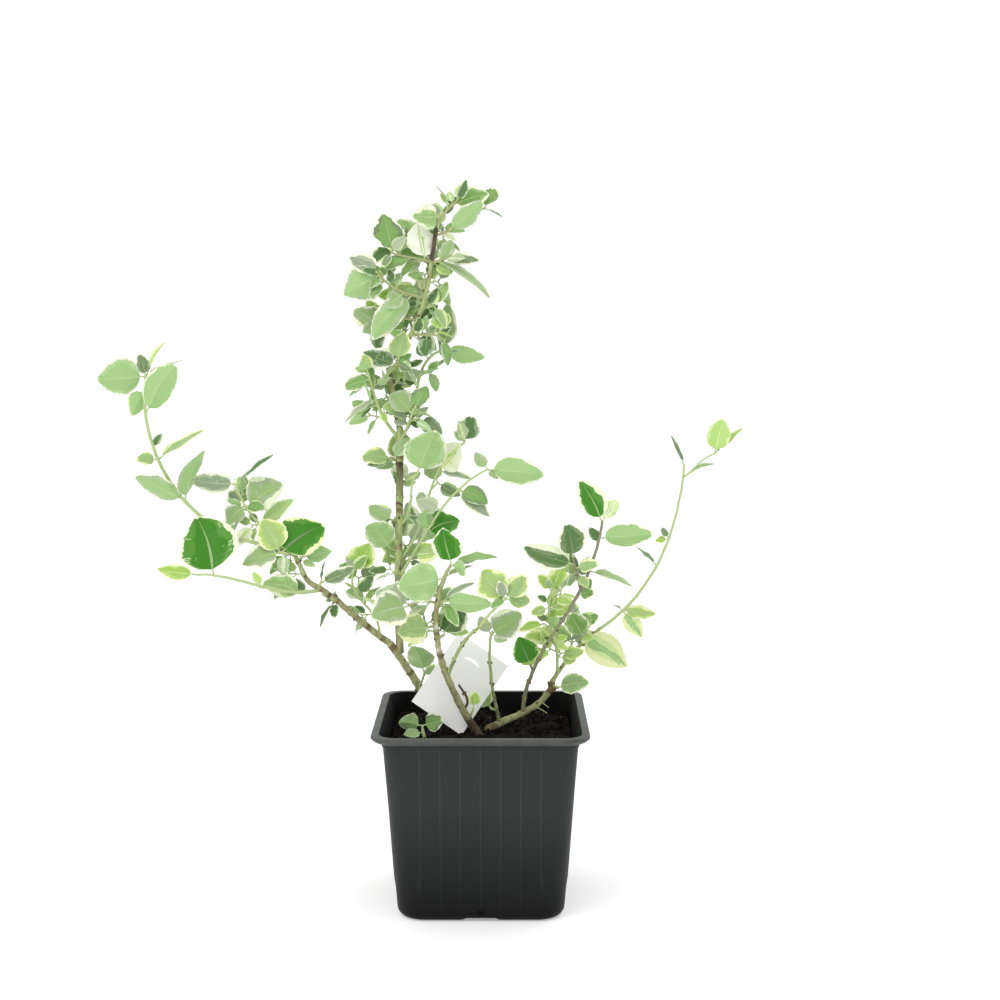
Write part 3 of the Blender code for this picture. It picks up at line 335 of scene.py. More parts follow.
# Pairs of finer twigs on a stem, over and above the twigs that its solid has
FINE_TWIGS = {
    "middle_leader": 2, "crown_leader": 8, "crown_tip": 1, "crown_high_left_shoot": 3,
    "crown_mid_left_shoot": 3, "crown_low_left_shoot": 3, "crown_mid_right_shoot": 2,
    "crown_right_shoot": 1, "crown_base_tuft": 1, "right_leader_shoot": 1,
    "left_leader_shoot": 3, "fork_tuft": 2, "tall_trunk": 4, "front_stem": 3, "front_left_shoot": 2, "front_top_shoot": 2,
    "young_shoot": 5, "dark_stem_top": 1, "dark_stem_fork": 1,
    "left_inner_shoot": 2, "left_mid_bough": 2, "left_side_shoot": 2, "left_bough": 1,
    "trunk_back_shoot": 3, "crown_back_high_shoot": 3, "crown_back_low_shoot": 3,
    "arching_back_shoot": 2,
}
BARE_FOOT = {"front_stem": 0.62, "tall_trunk": 0.25}  # share of the stem that they leave bare

# Broken twigs and rootlets on the limbs, which have no leaves
STUBS = (
    Stem("foot_stub", "low_stem", 0.27, 3.4, (10, 4, 0), (-40, -40), (3.3, 2.6)),
    Stem("bough_stub", "left_bough", 0.72, 2.2, (62, 60, 60), (-20, -20), (1.9, 1.5)),
    Stem("bough_knot", "left_bough", 0.42, 1.8, (230, 230, 230), (-30, -30), (1.7, 1.3)),
    Stem("right_stub", "right_low_stem", 0.84, 4.5, (30, 34, 40), (-30, -24), (1.9, 1.2)),
    Stem("right_high_stub", "right_low_stem", 0.9, 3.2, (112, 110, 100), (-20, -10), (1.7, 1.2)),
    Stem("rootlet", "right_low_stem", 0.6, 7, (-6, -24, -30), (-30, -20), (0.6, 0.3)),
    Stem("short_rootlet", "right_low_stem", 0.7, 5, (-20, -34, -20), (-40, -30), (0.5, 0.3)),
    Stem("air_root", "middle_leader", 0.2, 7, (182, 176, 172), (-14, -10), (0.6, 0.4)),
)

MASS_NODES = sorted({stem.body for stem in MASSES})
LIMB_NODES = [stem.name for stem in LIMBS]


class Region(Enum):
    """Parts of the plant whose leaves are joined, by the first words of their stems' names."""

    CROWN = ("crown_", "right_leader", "left_leader", "middle_leader", "fork_")
    LEFT = ("left_",)
    RIGHT = ("right_", "dark_", "young_", "low_stem_end", "arching_", "side_", "back_")
    MIDDLE = ("",)

    @classmethod
    def of(cls, body: str) -> "Region":
        """The region of a stem's body: the first whose words its name starts with."""
        return next(region for region in cls if body.startswith(region.value))


def heading(aim: float, away: float) -> np.ndarray:
    """Unit vector of a heading in degrees, seen from the front and away from the viewer."""
    a, b = math.radians(aim), math.radians(away)
    return np.array([math.cos(a) * math.cos(b), math.sin(b), math.sin(a) * math.cos(b)])


def unit(vector: np.ndarray) -> np.ndarray:
    """The vector at length one."""
    return vector / np.linalg.norm(vector)


def stem_path(stem: Stem, foot: np.ndarray) -> np.ndarray:
    """The stem's middle line from its foot: its aim runs smoothly through its three values."""
    s = (np.arange(STEPS) + 0.5) / STEPS
    low, mid, high = stem.aim
    aim = np.radians(low * (1 - s) * (1 - 2 * s) + mid * 4 * s * (1 - s) + high * s * (2 * s - 1))
    away = np.radians(stem.away[0] + (stem.away[1] - stem.away[0]) * s)
    way = np.stack([np.cos(aim) * np.cos(away), np.sin(away), np.sin(aim) * np.cos(away)], -1)
    return np.concatenate([[foot], foot + np.cumsum(way * stem.length * MM / STEPS, axis=0)])


def along(path: np.ndarray, share: float) -> tuple:
    """Point and direction at a share of the path's length."""
    step = min(int(share * STEPS), STEPS - 1)
    part = share * STEPS - step
    way = path[step + 1] - path[step]
    return path[step] + way * part, unit(way)


def foot_of(stem: Stem, grown: dict) -> np.ndarray:
    """Where the stem starts: on the soil, just clear of another mass's stem, or inside its own."""
    if stem.in_soil:
        return np.array([stem.on[0] * MM, stem.on[1] * MM, SOIL_TOP + CLEAR])
    older, path = grown[stem.on]
    point, way = along(path, stem.at)
    if older.body == stem.body:
        return point
    start = heading(stem.aim[0], stem.away[0])
    across = abs(float(start @ way))
    off = math.sqrt(max(1 - across**2, 0))
    outer, inner = older.radius(stem.at), stem.radius(0)
    if stem.at == 1:
        return point + start * (CLEAR + inner * off) / across
    return point + start * (outer + CLEAR + inner * across) / max(off, 0.3)


def rings_to_mesh(rings: list) -> tuple:
    """Closed coarse tube through rings of points, for testing what a leaf would strike."""
    count, sides = len(rings), len(rings[0])
    around = np.arange(sides)
    after = (around + 1) % sides
    faces = [tuple(int(i) for i in around[::-1])]
    for ring in range(count - 1):
        low, high = ring * sides, (ring + 1) * sides
        faces += [
            (low + int(a), low + int(b), high + int(b), high + int(a))
            for a, b in zip(around, after)
        ]
    faces.append(tuple(int(i) + (count - 1) * sides for i in around))
    return np.concatenate(rings), faces


def tube_rings(path: np.ndarray, radii, sides: int) -> list:
    """Rings of points square to the path, carried along it without twist."""
    ways = np.gradient(path, axis=0)
    ways /= np.linalg.norm(ways, axis=1)[:, None]
    side = unit(np.cross(ways[0], (0, 1, 0)))
    angles = np.arange(sides) * 2 * math.pi / sides
    rings = []
    for point, way, radius in zip(path, ways, radii):
        side = unit(side - way * (side @ way))
        other = np.cross(way, side)
        ring = np.cos(angles)[:, None] * side + np.sin(angles)[:, None] * other
        rings.append(point + ring * radius)
    return rings


def coarse_stem(stem: Stem, path: np.ndarray, sides: int) -> tuple:
    """The stem as the part's solid has it."""
    count = max(2, round(stem.length * MM / RING_SPACING) + 1)
    picked = np.unique(np.linspace(0, STEPS, count).round().astype(int))
    points = path[picked]
    radii = np.array([stem.radius(share) for share in picked / STEPS])
    if stem.in_soil:
        way = unit(path[1] - path[0])
        near = path[0] + way * FLARE_REACH
        below = path[0] - way * ROOT_REACH
        points = np.concatenate([[below, path[0], near], points[1:]])
        foot = radii[0]
        radii = np.concatenate([[foot * (1 + FLARE)] * 2, [foot * 1.05], radii[1:]])
    return rings_to_mesh(tube_rings(points, radii, sides))


@dataclass
class Leaf:
    """A leaf's place and form.

    Args (fields):
        root: where its stalk starts, on the twig's middle line.
        way, up: unit vectors along the blade and out of its upper face.
        length, ratio, stalk: the blade's length, its width over its length, the stalk's length.
        fold, curl: how far its halves rise and its tip drops.
        kind: which face and tint the note asks for.
    """

    root: np.ndarray
    way: np.ndarray
    up: np.ndarray
    length: float
    ratio: float
    stalk: float
    fold: float
    curl: float
    kind: str
    seed: int
    mass: str = ""
    tree: tuple = ()

    def place(self, x, y, z) -> np.ndarray:
        """Points at x along, y across and z above the blade, with its tip's droop."""
        side = np.cross(self.way, self.up)
        drop = -self.curl / self.length * np.maximum(x - self.stalk, 0) ** 2
        x, y, z = np.broadcast_arrays(x, y, z + drop)
        return (
            self.root
            + x[..., None] * self.way
            + y[..., None] * side
            + z[..., None] * self.up
        )

    def coarse(self, spread: float = 0.0, petiole: bool = True) -> tuple:
        """The leaf as the part's solid has it, widened by spread, for striking tests."""
        half = self.length * self.ratio / 2
        stalk = self.stalk
        thick = LEAF_THICK / 2 + spread
        wire = PETIOLE_THICK / 2 + spread
        root = (0, wire, wire) if petiole else (stalk * BARE_START, wire, thick)
        if self.length < SMALL_LEAF:
            stations = [root, (stalk + self.length * SMALL_WIDEST, half + spread, thick)]
        else:
            stations = [root, (stalk + self.length * NECK_PLACE, wire * NECK_WIDER, thick)]
            stations += [
                (stalk + self.length * place, half * width + spread, thick)
                for place, width in BLADE_STATIONS
            ]
        if not petiole and len(stations) > 2:
            del stations[1]
        points = []
        for x, wide, deep in stations:
            lift = self.fold * wide if x > stalk else 0
            points += [(x, -wide, lift), (x, 0, deep), (x, wide, lift), (x, 0, -deep)]
        points.append((stalk + self.length + spread, 0, 0))
        last = len(points) - 1
        faces = [(0, 1, 2), (0, 2, 3)]
        for low in range(0, last - 4, 4):
            for k in range(4):
                m = (k + 1) % 4
                faces += [(low + k, low + 4 + k, low + 4 + m), (low + k, low + 4 + m, low + m)]
        faces += [(last - 4 + k, last, last - 4 + (k + 1) % 4) for k in range(4)]
        x, y, z = np.array(points).T
        return self.place(x, y, z), faces


def leaf_at(root: np.ndarray, note: tuple, rng, attempt: int, nth: int) -> Leaf:
    """The leaf that a note asks for, turned further from it at each further attempt."""
    kind, size, form, aim = note
    aim = float(aim) + rng.normal(0, 1.5 + AIM_SLACK * attempt)
    rises = math.sin(math.radians(aim))
    underside = kind.lower() == "p"
    toward = rises > LEVEL_RISE if underside else rises < -LEVEL_RISE
    if abs(rises) <= LEVEL_RISE:
        toward = nth % 2 == 0
    away = (-1 if toward else 1) * rng.uniform(*LEAF_AWAY)
    away += rng.normal(0, 1 + AWAY_SLACK * attempt)
    way = heading(aim, max(-MOST_AWAY, min(MOST_AWAY, away)))
    if form == "n":
        roll = rng.uniform(*EDGE_ROLL)
    else:
        roll = rng.uniform(*LEAF_ROLL) + rng.normal(0, ROLL_SLACK * attempt)
    viewer = np.array(VIEWER)
    level = unit(viewer - way * (viewer @ way))
    if underside:
        level = -level
    tilt = np.cross(way, level)
    if tilt[2] < 0:
        tilt = -tilt
    turn = math.radians(roll)
    ratio = BROAD if kind.isupper() else {"n": EDGE_ON, "s": SLENDER}.get(form, USUAL)
    length = int(size) * MM * (1 - SHRINK * attempt)
    return Leaf(
        root=root - way * (ROOT_SINK + ROOT_STEP * nth),
        way=way,
        up=level * math.cos(turn) + tilt * math.sin(turn),
        length=length,
        ratio=ratio * rng.uniform(0.94, 1.04),
        stalk=STALK_LEAST + STALK_SHARE * length,
        fold=rng.uniform(*LEAF_FOLD),
        curl=rng.uniform(*LEAF_CURL),
        kind=kind.lower(),
        seed=crc32(f"{size}{aim:.2f}".encode()),
    )


def surface_tree(points: np.ndarray, faces: list) -> tuple:
    """A search tree of a surface, with its box."""
    tree = BVHTree.FromPolygons([tuple(p) for p in points], faces)
    return tree, points.min(axis=0), points.max(axis=0)


def strikes(tested: tuple, placed: list) -> bool:
    """Whether the tested surface cuts one of the placed ones."""
    tree, low, high = tested
    for other, other_low, other_high in placed:
        if (low < other_high).all() and (other_low < high).all() and tree.overlap(other):
            return True
    return False


def out_of_place(points: np.ndarray) -> bool:
    """Whether a point is in the soil, or too near the pot's rim or wall."""
    reach = np.abs(points[:, :2]).max(axis=1)
    in_soil = (points[:, 2] < SOIL_TOP + SOIL_CLEAR) & (reach < RIM_WIDTH / 2)
    in_rim = (points[:, 2] < POT_HEIGHT + RIM_CLEAR) & (reach > RIM_REACH)
    return bool((in_soil | in_rim).any())


def label_block() -> tuple:
    """The label as the flat plate of the part's solid, for striking tests."""
    up = unit(np.array(LABEL_UP))
    across = np.array(LABEL_ACROSS)
    across = unit(across - up * (across @ up))
    out = np.cross(across, up)
    corner = np.array([*LABEL_CORNER, SOIL_TOP - LABEL_SINK])
    points = [
        corner + across * x + up * y + out * z
        for z in (-LABEL_THICK / 2, LABEL_THICK / 2)
        for x, y in ((0, 0), (LABEL_WIDTH, 0), (LABEL_WIDTH, LABEL_LENGTH), (0, LABEL_LENGTH))
    ]
    faces = [(3, 2, 1, 0), (4, 5, 6, 7), (0, 1, 5, 4), (1, 2, 6, 5), (2, 3, 7, 6), (3, 0, 4, 7)]
    return np.array(points), faces


class Plant:
    """Every stem with its path, and every leaf that found room, in the order they grow."""

    def __init__(self) -> None:
        self.grown: dict = {}
        self.leaves: list = []
        for stem in LIMBS + MASSES:
            path = stem_path(stem, foot_of(stem, self.grown))
            self.grown[stem.name] = (stem, path)
            for spur in self.spurs_of(stem, path):
                self.grown[spur.name] = (spur, stem_path(spur, foot_of(spur, self.grown)))
        self.trees = {
            name: (stem.body, self.tree_of(stem, path)) for name, (stem, path) in self.grown.items()
        }
        self.label = surface_tree(*label_block())
        for name in list(self.grown):
            self.place_leaves(name, LEAF_TRIES)
        self.solid_leaves = len(self.leaves)
        self.grow_finer()

    @staticmethod
    def tree_of(stem: Stem, path: np.ndarray) -> tuple:
        """Search tree of the stem's coarse form."""
        sides = LIMB_SIDES if stem.name in LIMB_NODES else TWIG_SIDES
        return surface_tree(*coarse_stem(stem, path, sides))

    @staticmethod
    def spurs_of(stem: Stem, path: np.ndarray):
        """Short leafy twigs on the side away from the viewer, at places the stem's seed picks."""
        rng = np.random.default_rng(crc32(stem.name.encode()) + 1)
        for nth in range(stem.spurs):
            share = SPUR_PLACE[0] + SPUR_PLACE[1] * (nth + rng.uniform(0.2, 0.8)) / stem.spurs
            way = along(path, share)[1]
            lean = math.degrees(math.atan2(way[2], way[0])) + rng.uniform(-SPUR_LEAN, SPUR_LEAN)
            away = rng.uniform(*SPUR_AWAY)
            pair = [
                f"{rng.choice(list('mgdpy'))}{rng.integers(*SPUR_LEAVES)}@{lean + turn:.0f}"
                for turn in (rng.uniform(*SPUR_SPREAD), -rng.uniform(*SPUR_SPREAD))
            ]
            yield Stem(
                f"{stem.name}_spur_{nth}", stem.name, share, rng.uniform(*SPUR_LENGTH),
                (lean,) * 3, (away, away - 10), (1.0, 0.8), {1: " ".join(pair)}, 0, stem.body,
            )

    def grow_finer(self) -> None:
        """Carries the rule on: pairs of short twigs with small leaves where they find room."""
        for name, pairs in FINE_TWIGS.items():
            older, path = self.grown[name]
            rng = np.random.default_rng(crc32(name.encode()) + 3)
            start = BARE_FOOT.get(name, FINE_START)
            own = [kind for kind in "".join(older.leaves.values()) if kind in FINE_KINDS]
            kinds = ["y"] if name == "young_shoot" else own * 2 + list(FINE_KINDS)
            for nth in range(2 * pairs):
                share = start + (FINE_STOP - start) * (nth // 2 + rng.uniform(0.1, 0.9)) / pairs
                way = along(path, share)[1]
                turn = (1 if nth % 2 else -1) * rng.uniform(*FINE_LEAN)
                lean = math.degrees(math.atan2(way[2], way[0])) + turn
                away = rng.uniform(*FINE_AWAY)
                notes = {
                    at: " ".join(
                        f"{rng.choice(kinds)}{rng.integers(*sizes)}{rng.choice(FINE_FORMS)}"
                        f"@{lean + spread:.0f}"
                        for spread in (rng.uniform(*FINE_SPREAD), -rng.uniform(*FINE_SPREAD))
                    )
                    for at, sizes in FINE_LEAVES
                }
                twig = Stem(
                    f"{name}_fine_{nth}", name, share, rng.uniform(*FINE_LENGTH), (lean,) * 3,
                    (away, away * 0.7), (0.8, 0.6), notes, 0, older.body,
                )
                line = stem_path(twig, along(path, share)[0])
                tree = self.tree_of(twig, line)
                clear = [tree for body, tree in self.trees.values() if body != twig.body]
                clear += [self.label] + [leaf.tree for leaf in self.leaves]
                if out_of_place(line) or strikes(tree, clear):
                    continue
                self.grown[twig.name] = (twig, line)
                self.trees[twig.name] = (twig.body, tree)
                self.place_leaves(twig.name, FINE_TRIES)

    def place_leaves(self, name: str, tries: int) -> None:
        """Tries each note's leaf on a stem until it clears stems, leaves, label, pot and soil."""
        stem, path = self.grown[name]
        rng = np.random.default_rng(crc32(name.encode()))
        own = stem.body
        others = [tree for body, tree in self.trees.values() if body != own] + [self.label]
        others += [leaf.tree for leaf in self.leaves if leaf.mass != own]
        same = [tree for body, tree in self.trees.values() if body == own]
        same += [leaf.tree for leaf in self.leaves if leaf.mass == own]
        for share, notes in stem.leaves.items():
            root = along(path, share)[0]
            for nth, note in enumerate(notes.split()):
                leaf = self.fitting_leaf(root, note, rng, nth, path, others, same, tries)
                if leaf:
                    leaf.mass = own
                    leaf.tree = surface_tree(*leaf.coarse())
                    self.leaves.append(leaf)
                    same.append(leaf.tree)

    @staticmethod
    def fitting_leaf(root, note, rng, nth, path, others, same, tries):
        """The first try of a note's leaf that clears everything, or None."""
        parts = LEAF_NOTE.fullmatch(note).groups()
        for attempt in range(tries):
            leaf = leaf_at(root, parts, rng, attempt, nth)
            whole = leaf.coarse(SWELL)
            blade = leaf.coarse(SWELL, petiole=False)
            far = np.linalg.norm(path - whole[0][-1], axis=1).min() > LEAF_REACH
            if far or out_of_place(whole[0]):
                continue
            if strikes(surface_tree(*whole), others) or strikes(surface_tree(*blade), same):
                continue
            return leaf
        return None


def linear(hex_colour: str) -> tuple:
    """A #rrggbb colour as scene-linear red, green, blue and alpha."""
    parts = [int(hex_colour[i : i + 2], 16) / 255 for i in (1, 3, 5)]
    return (*[p / 12.92 if p <= 0.04045 else ((p + 0.055) / 1.055) ** 2.4 for p in parts], 1.0)


def new_material(name: str):
    """An empty node material."""
    made = bpy.data.materials.new(name)
    made.use_nodes = True
    return made


def add_node(tree, kind: str, **values):
    """Adds a shader node and sets its inputs or properties by name."""
    node = tree.nodes.new(kind)
    for key, value in values.items():
        socket = node.inputs.get(key.replace("_", " "))
        if socket is not None:
            socket.default_value = value
        else:
            setattr(node, key, value)
    return node


class Tint(Enum):
    """Plain leaf and twig colours, dealt out by zone and by leaf."""

    DEEP = "#377d0c"
    DEEP_SOFT = "#4f8c2a"
    DARK = "#53753f"
    DARK_SOFT = "#73895f"
    MID = "#78a055"
    MID_SOFT = "#92af72"
    FRESH = "#a3bd77"
    GREY = "#8b9e7f"
    GREY_SOFT = "#a3b291"
    GREY_LIGHT = "#b2bf9b"
    YOUNG = "#9bbe56"
    YOUNG_SOFT = "#aecc6e"
    YOUNG_LIGHT = "#cadf9c"
    LIME = "#aed076"
    UNDER = "#9dc07e"
    UNDER_SOFT = "#abca8e"
    UNDER_GREY = "#a9be94"
    CREAM = "#e4e9cb"
    CREAM_YELLOW = "#e2e8b0"
    WHITE = "#edf0df"
    STALK = "#b3c48b"
    OLIVE = "#a0a575"
    BROWN = "#86836a"
    UMBER = "#6e5e42"


@dataclass(frozen=True)
class Waxy:
    """Skin of leaves and thin twigs: a plain tint with a soft sheen and fine blistered relief."""

    tint: Tint
    roughness: float = 0.45
    relief: float = 0.15

    def build(self):
        """Returns the material."""
        made = new_material("skin_" + self.tint.name.lower())
        nodes, shader = made.node_tree, made.node_tree.nodes["Principled BSDF"]
        shader.inputs["Base Color"].default_value = linear(self.tint.value)
        shader.inputs["Roughness"].default_value = self.roughness
        shader.inputs["Specular IOR Level"].default_value = 0.35
        place = add_node(nodes, "ShaderNodeTexCoord")
        noise = add_node(nodes, "ShaderNodeTexNoise", Scale=900.0, Detail=2.0)
        bump = add_node(nodes, "ShaderNodeBump", Strength=self.relief, Distance=0.0004)
        nodes.links.new(place.outputs["Object"], noise.inputs["Vector"])
        nodes.links.new(noise.outputs["Fac"], bump.inputs["Height"])
        nodes.links.new(bump.outputs["Normal"], shader.inputs["Normal"])
        return made


@dataclass(frozen=True)
class Mottled:
    """A finish whose colour drifts between two tints, with grain relief.

    Args (fields):
        dark, light: its two tints.
        scale: grains per metre.
        relief, depth: the bump's strength, and its height in metres.
        climb: how far the tint follows the height from the ground to the pot's top instead, which paints light:
            darker toward the foot as painted shade, lighter toward the top as a painted reflection.
        ribs: how much lighter it is where the piece's run attribute is one, on its raised lines, as a painted
            highlight.
        middle, spread: the part of the noise over which one tint turns into the other.
    """

    name: str
    dark: str
    light: str
    scale: float
    roughness: float
    relief: float
    depth: float
    specular: float = 0.1
    climb: float = 0.0
    middle: float = 0.5
    spread: float = 0.2
    ribs: float = 0.0

    def build(self):
        """Returns the material."""
        made = new_material(self.name)
        nodes, shader = made.node_tree, made.node_tree.nodes["Principled BSDF"]
        shader.inputs["Roughness"].default_value = self.roughness
        shader.inputs["Specular IOR Level"].default_value = self.specular
        place = add_node(nodes, "ShaderNodeTexCoord")
        noise = add_node(nodes, "ShaderNodeTexNoise", Scale=self.scale, Detail=6.0)
        nodes.links.new(place.outputs["Object"], noise.inputs["Vector"])
        grain = noise.outputs["Fac"]
        ramp = add_node(nodes, "ShaderNodeValToRGB")
        low, high = ramp.color_ramp.elements
        low.position, high.position = self.middle - self.spread, self.middle + self.spread
        low.color, high.color = linear(self.dark), linear(self.light)
        # the height gradient is painted light: painted shade toward the foot, a painted reflection toward the top
        if self.climb:
            parts = add_node(nodes, "ShaderNodeSeparateXYZ")
            height = add_node(nodes, "ShaderNodeMapRange", From_Max=POT_HEIGHT)
            blend = add_node(nodes, "ShaderNodeMix", Factor=self.climb)
            nodes.links.new(place.outputs["Object"], parts.inputs["Vector"])
            nodes.links.new(parts.outputs["Z"], height.inputs["Value"])
            nodes.links.new(grain, blend.inputs["A"])
            nodes.links.new(height.outputs["Result"], blend.inputs["B"])
            nodes.links.new(blend.outputs["Result"], ramp.inputs["Fac"])
        else:
            nodes.links.new(grain, ramp.inputs["Fac"])
        bump = add_node(nodes, "ShaderNodeBump", Strength=self.relief, Distance=self.depth)
        colour = ramp.outputs["Color"]
        # painted highlight: the raised rib lines made lighter than the plastic between them
        if self.ribs:
            run = add_node(nodes, "ShaderNodeAttribute", attribute_name="run")
            lines = add_node(nodes, "ShaderNodeMix", data_type="RGBA", blend_type="MULTIPLY")
            lines.inputs["B"].default_value = (1 + self.ribs,) * 3 + (1,)
            nodes.links.new(run.outputs["Fac"], lines.inputs["Factor"])
            nodes.links.new(colour, lines.inputs["A"])
            colour = lines.outputs["Result"]
        nodes.links.new(colour, shader.inputs["Base Color"])
        nodes.links.new(grain, bump.inputs["Height"])
        nodes.links.new(bump.outputs["Normal"], shader.inputs["Normal"])
        return made


@dataclass(frozen=True)
class Bark:
    """Bark whose tint changes in soft bands along the limb, with streaks and cracks.

    Args (fields):
        skin: its tint between the bands.
        bands: start and stop of each band, as shares of the limb's length, and its tint.
        streak: how much the streaks darken it.
    """

    skin: str
    bands: tuple = ()
    streak: float = 0.32

    EDGE = 0.02  # share of the limb's length over which one tint runs into the next

    def stops(self) -> list:
        """Returns the ramp's places and tints, in order."""
        found = [(0.0, self.skin)]
        for start, stop, tint in self.bands:
            found += [(start - self.EDGE, self.skin), (start, tint), (stop, tint)]
            found += [(stop + self.EDGE, self.skin)]
        return [(min(max(place, 0), 1), tint) for place, tint in found]

    def build(self, name: str):
        """Returns the material, which reads the piece's own run attribute."""
        made = new_material(name)
        nodes, shader = made.node_tree, made.node_tree.nodes["Principled BSDF"]
        shader.inputs["Roughness"].default_value = 0.8
        shader.inputs["Specular IOR Level"].default_value = 0.2
        place = add_node(nodes, "ShaderNodeTexCoord")
        run = add_node(nodes, "ShaderNodeAttribute", attribute_name="run")
        patch = add_node(nodes, "ShaderNodeTexNoise", Scale=260.0, Detail=2.0)
        shift = add_node(nodes, "ShaderNodeMath", operation="MULTIPLY_ADD")
        shift.inputs[1].default_value = 0.05
        ramp = add_node(nodes, "ShaderNodeValToRGB")
        elements = ramp.color_ramp.elements
        elements.remove(elements[1])
        (elements[0].position, first), *others = self.stops()
        elements[0].color = linear(first)
        for spot, tint in others:
            elements.new(spot).color = linear(tint)
        stretch = add_node(nodes, "ShaderNodeMapping", Scale=(1, 1, 0.3))
        streaks = add_node(nodes, "ShaderNodeTexNoise", Scale=650.0, Detail=5.0)
        shade = add_node(nodes, "ShaderNodeMapRange", From_Min=0.35, From_Max=0.65)
        shade.inputs["To Min"].default_value = 1 - self.streak
        shade.inputs["To Max"].default_value = 1.1
        mix = add_node(nodes, "ShaderNodeMix", data_type="RGBA", blend_type="MULTIPLY")
        mix.inputs["Factor"].default_value = 1.0
        bump = add_node(nodes, "ShaderNodeBump", Strength=0.6, Distance=0.0005)
        for start, stop in (
            (place.outputs["Object"], patch.inputs["Vector"]),
            (patch.outputs["Fac"], shift.inputs[0]),
            (run.outputs["Fac"], shift.inputs[2]),
            (shift.outputs["Value"], ramp.inputs["Fac"]),
            (place.outputs["Object"], stretch.inputs["Vector"]),
            (stretch.outputs["Vector"], streaks.inputs["Vector"]),
            (streaks.outputs["Fac"], shade.inputs["Value"]),
            (ramp.outputs["Color"], mix.inputs["A"]),
            (shade.outputs["Result"], mix.inputs["B"]),
            (mix.outputs["Result"], shader.inputs["Base Color"]),
            (streaks.outputs["Fac"], bump.inputs["Height"]),
            (bump.outputs["Normal"], shader.inputs["Normal"]),
        ):
            nodes.links.new(start, stop)
        return made


# Satin recycled plastic of the pot, greyer up the wall: its walls carry painted light, darker toward the foot as
# painted shade, lighter toward the lip as a painted reflection, and lighter on their ribs as a painted highlight
POT_PLASTIC_PAINTED_LIGHT = Mottled(
    "pot_plastic", "#030303", "#2f3030", 60, 0.5, 0.1, 0.0002, 0.12, 0.9, 0.325, 0.3, 0.7
)
# Its lip: the same plastic, lighter grey as a painted highlight
POT_LIP_PAINTED_HIGHLIGHT = Mottled("pot_lip", "#414440", "#525550", 90, 0.45, 0.12, 0.0002, 0.2)
# Its inside and the drain hole's dish: near-black as painted shade
POT_INSIDE_PAINTED_SHADE = Mottled("pot_inside", "#090909", "#0e0e0e", 90, 0.6, 0.1, 0.0002, 0.05)
# Damp peat, its crumbs, and bits of bark and grit
PEAT = Mottled("peat_ground", "#0b0908", "#1d1915", 700, 0.95, 0.9, 0.0015)
PEAT_CRUMB = Mottled("peat_crumb", "#14110e", "#14110e", 900, 0.95, 0.8, 0.0008)
PALE_BITS = Mottled("pale_bits", "#8b836c", "#8b836c", 600, 0.9, 0.4, 0.0005)
# Thin white sheet of the label
LABEL_PLASTIC = Mottled("label_plastic", "#f1f1ee", "#f6f6f3", 30, 0.5, 0.03, 0.0002, 0.4)

GREEN, OLIVE, TAN, BROWN, DARK, SCAR = (
    "#a8b67d", "#a3a577", "#978f6a", "#7b7054", "#5a5140", "#cfccb6",
)
BARKS = {
    "low_stem": Bark(OLIVE, ((0.0, 0.4, "#7d6648"), (0.62, 0.64, BROWN), (0.93, 1.0, BROWN))),
    "left_bough": Bark(
        OLIVE,
        (
            (0.08, 0.1, TAN), (0.29, 0.31, BROWN), (0.43, 0.45, TAN), (0.57, 0.59, TAN),
            (0.69, 0.71, BROWN), (0.8, 0.82, DARK), (0.9, 0.92, TAN),
        ),
    ),
    "left_mid_bough": Bark(GREEN, ((0.0, 0.12, OLIVE), (0.5, 0.54, TAN))),
    "tall_trunk": Bark(
        GREEN,
        (
            (0.0, 0.1, OLIVE), (0.3, 0.31, TAN), (0.46, 0.47, TAN), (0.64, 0.66, "#8a6a48"),
            (0.67, 0.86, "#4f4134"), (0.88, 0.94, "#8a7a60"),
        ),
        0.4,
    ),
    "middle_leader": Bark(OLIVE, ((0.0, 0.16, BROWN), (0.5, 0.56, TAN), (0.8, 0.84, BROWN))),
    "crown_leader": Bark(GREEN, ((0.3, 0.32, TAN), (0.62, 0.7, OLIVE), (0.77, 0.97, DARK))),
    "front_stem": Bark(
        OLIVE,
        (
            (0.0, 0.14, "#5f5440"), (0.34, 0.35, TAN), (0.6, 0.61, BROWN), (0.63, 0.645, SCAR),
            (0.74, 0.75, BROWN), (0.77, 0.785, SCAR), (0.88, 0.89, TAN),
        ),
    ),
    "front_side_bough": Bark(GREEN),
    "back_stem": Bark(GREEN, ((0.3, 0.32, OLIVE), (0.7, 0.72, OLIVE))),
    "right_low_stem": Bark(OLIVE, ((0.0, 0.08, BROWN), (0.5, 0.54, TAN), (0.86, 1.0, BROWN))),
    "right_dark_stem": Bark(
        "#979a76", ((0.0, 0.08, OLIVE), (0.35, 0.37, TAN), (0.6, 0.62, TAN))
    ),
    "right_arching_branch": Bark(GREEN, ((0.45, 0.48, OLIVE), (0.9, 0.94, TAN))),
    "dead_twig": Bark(DARK),
}


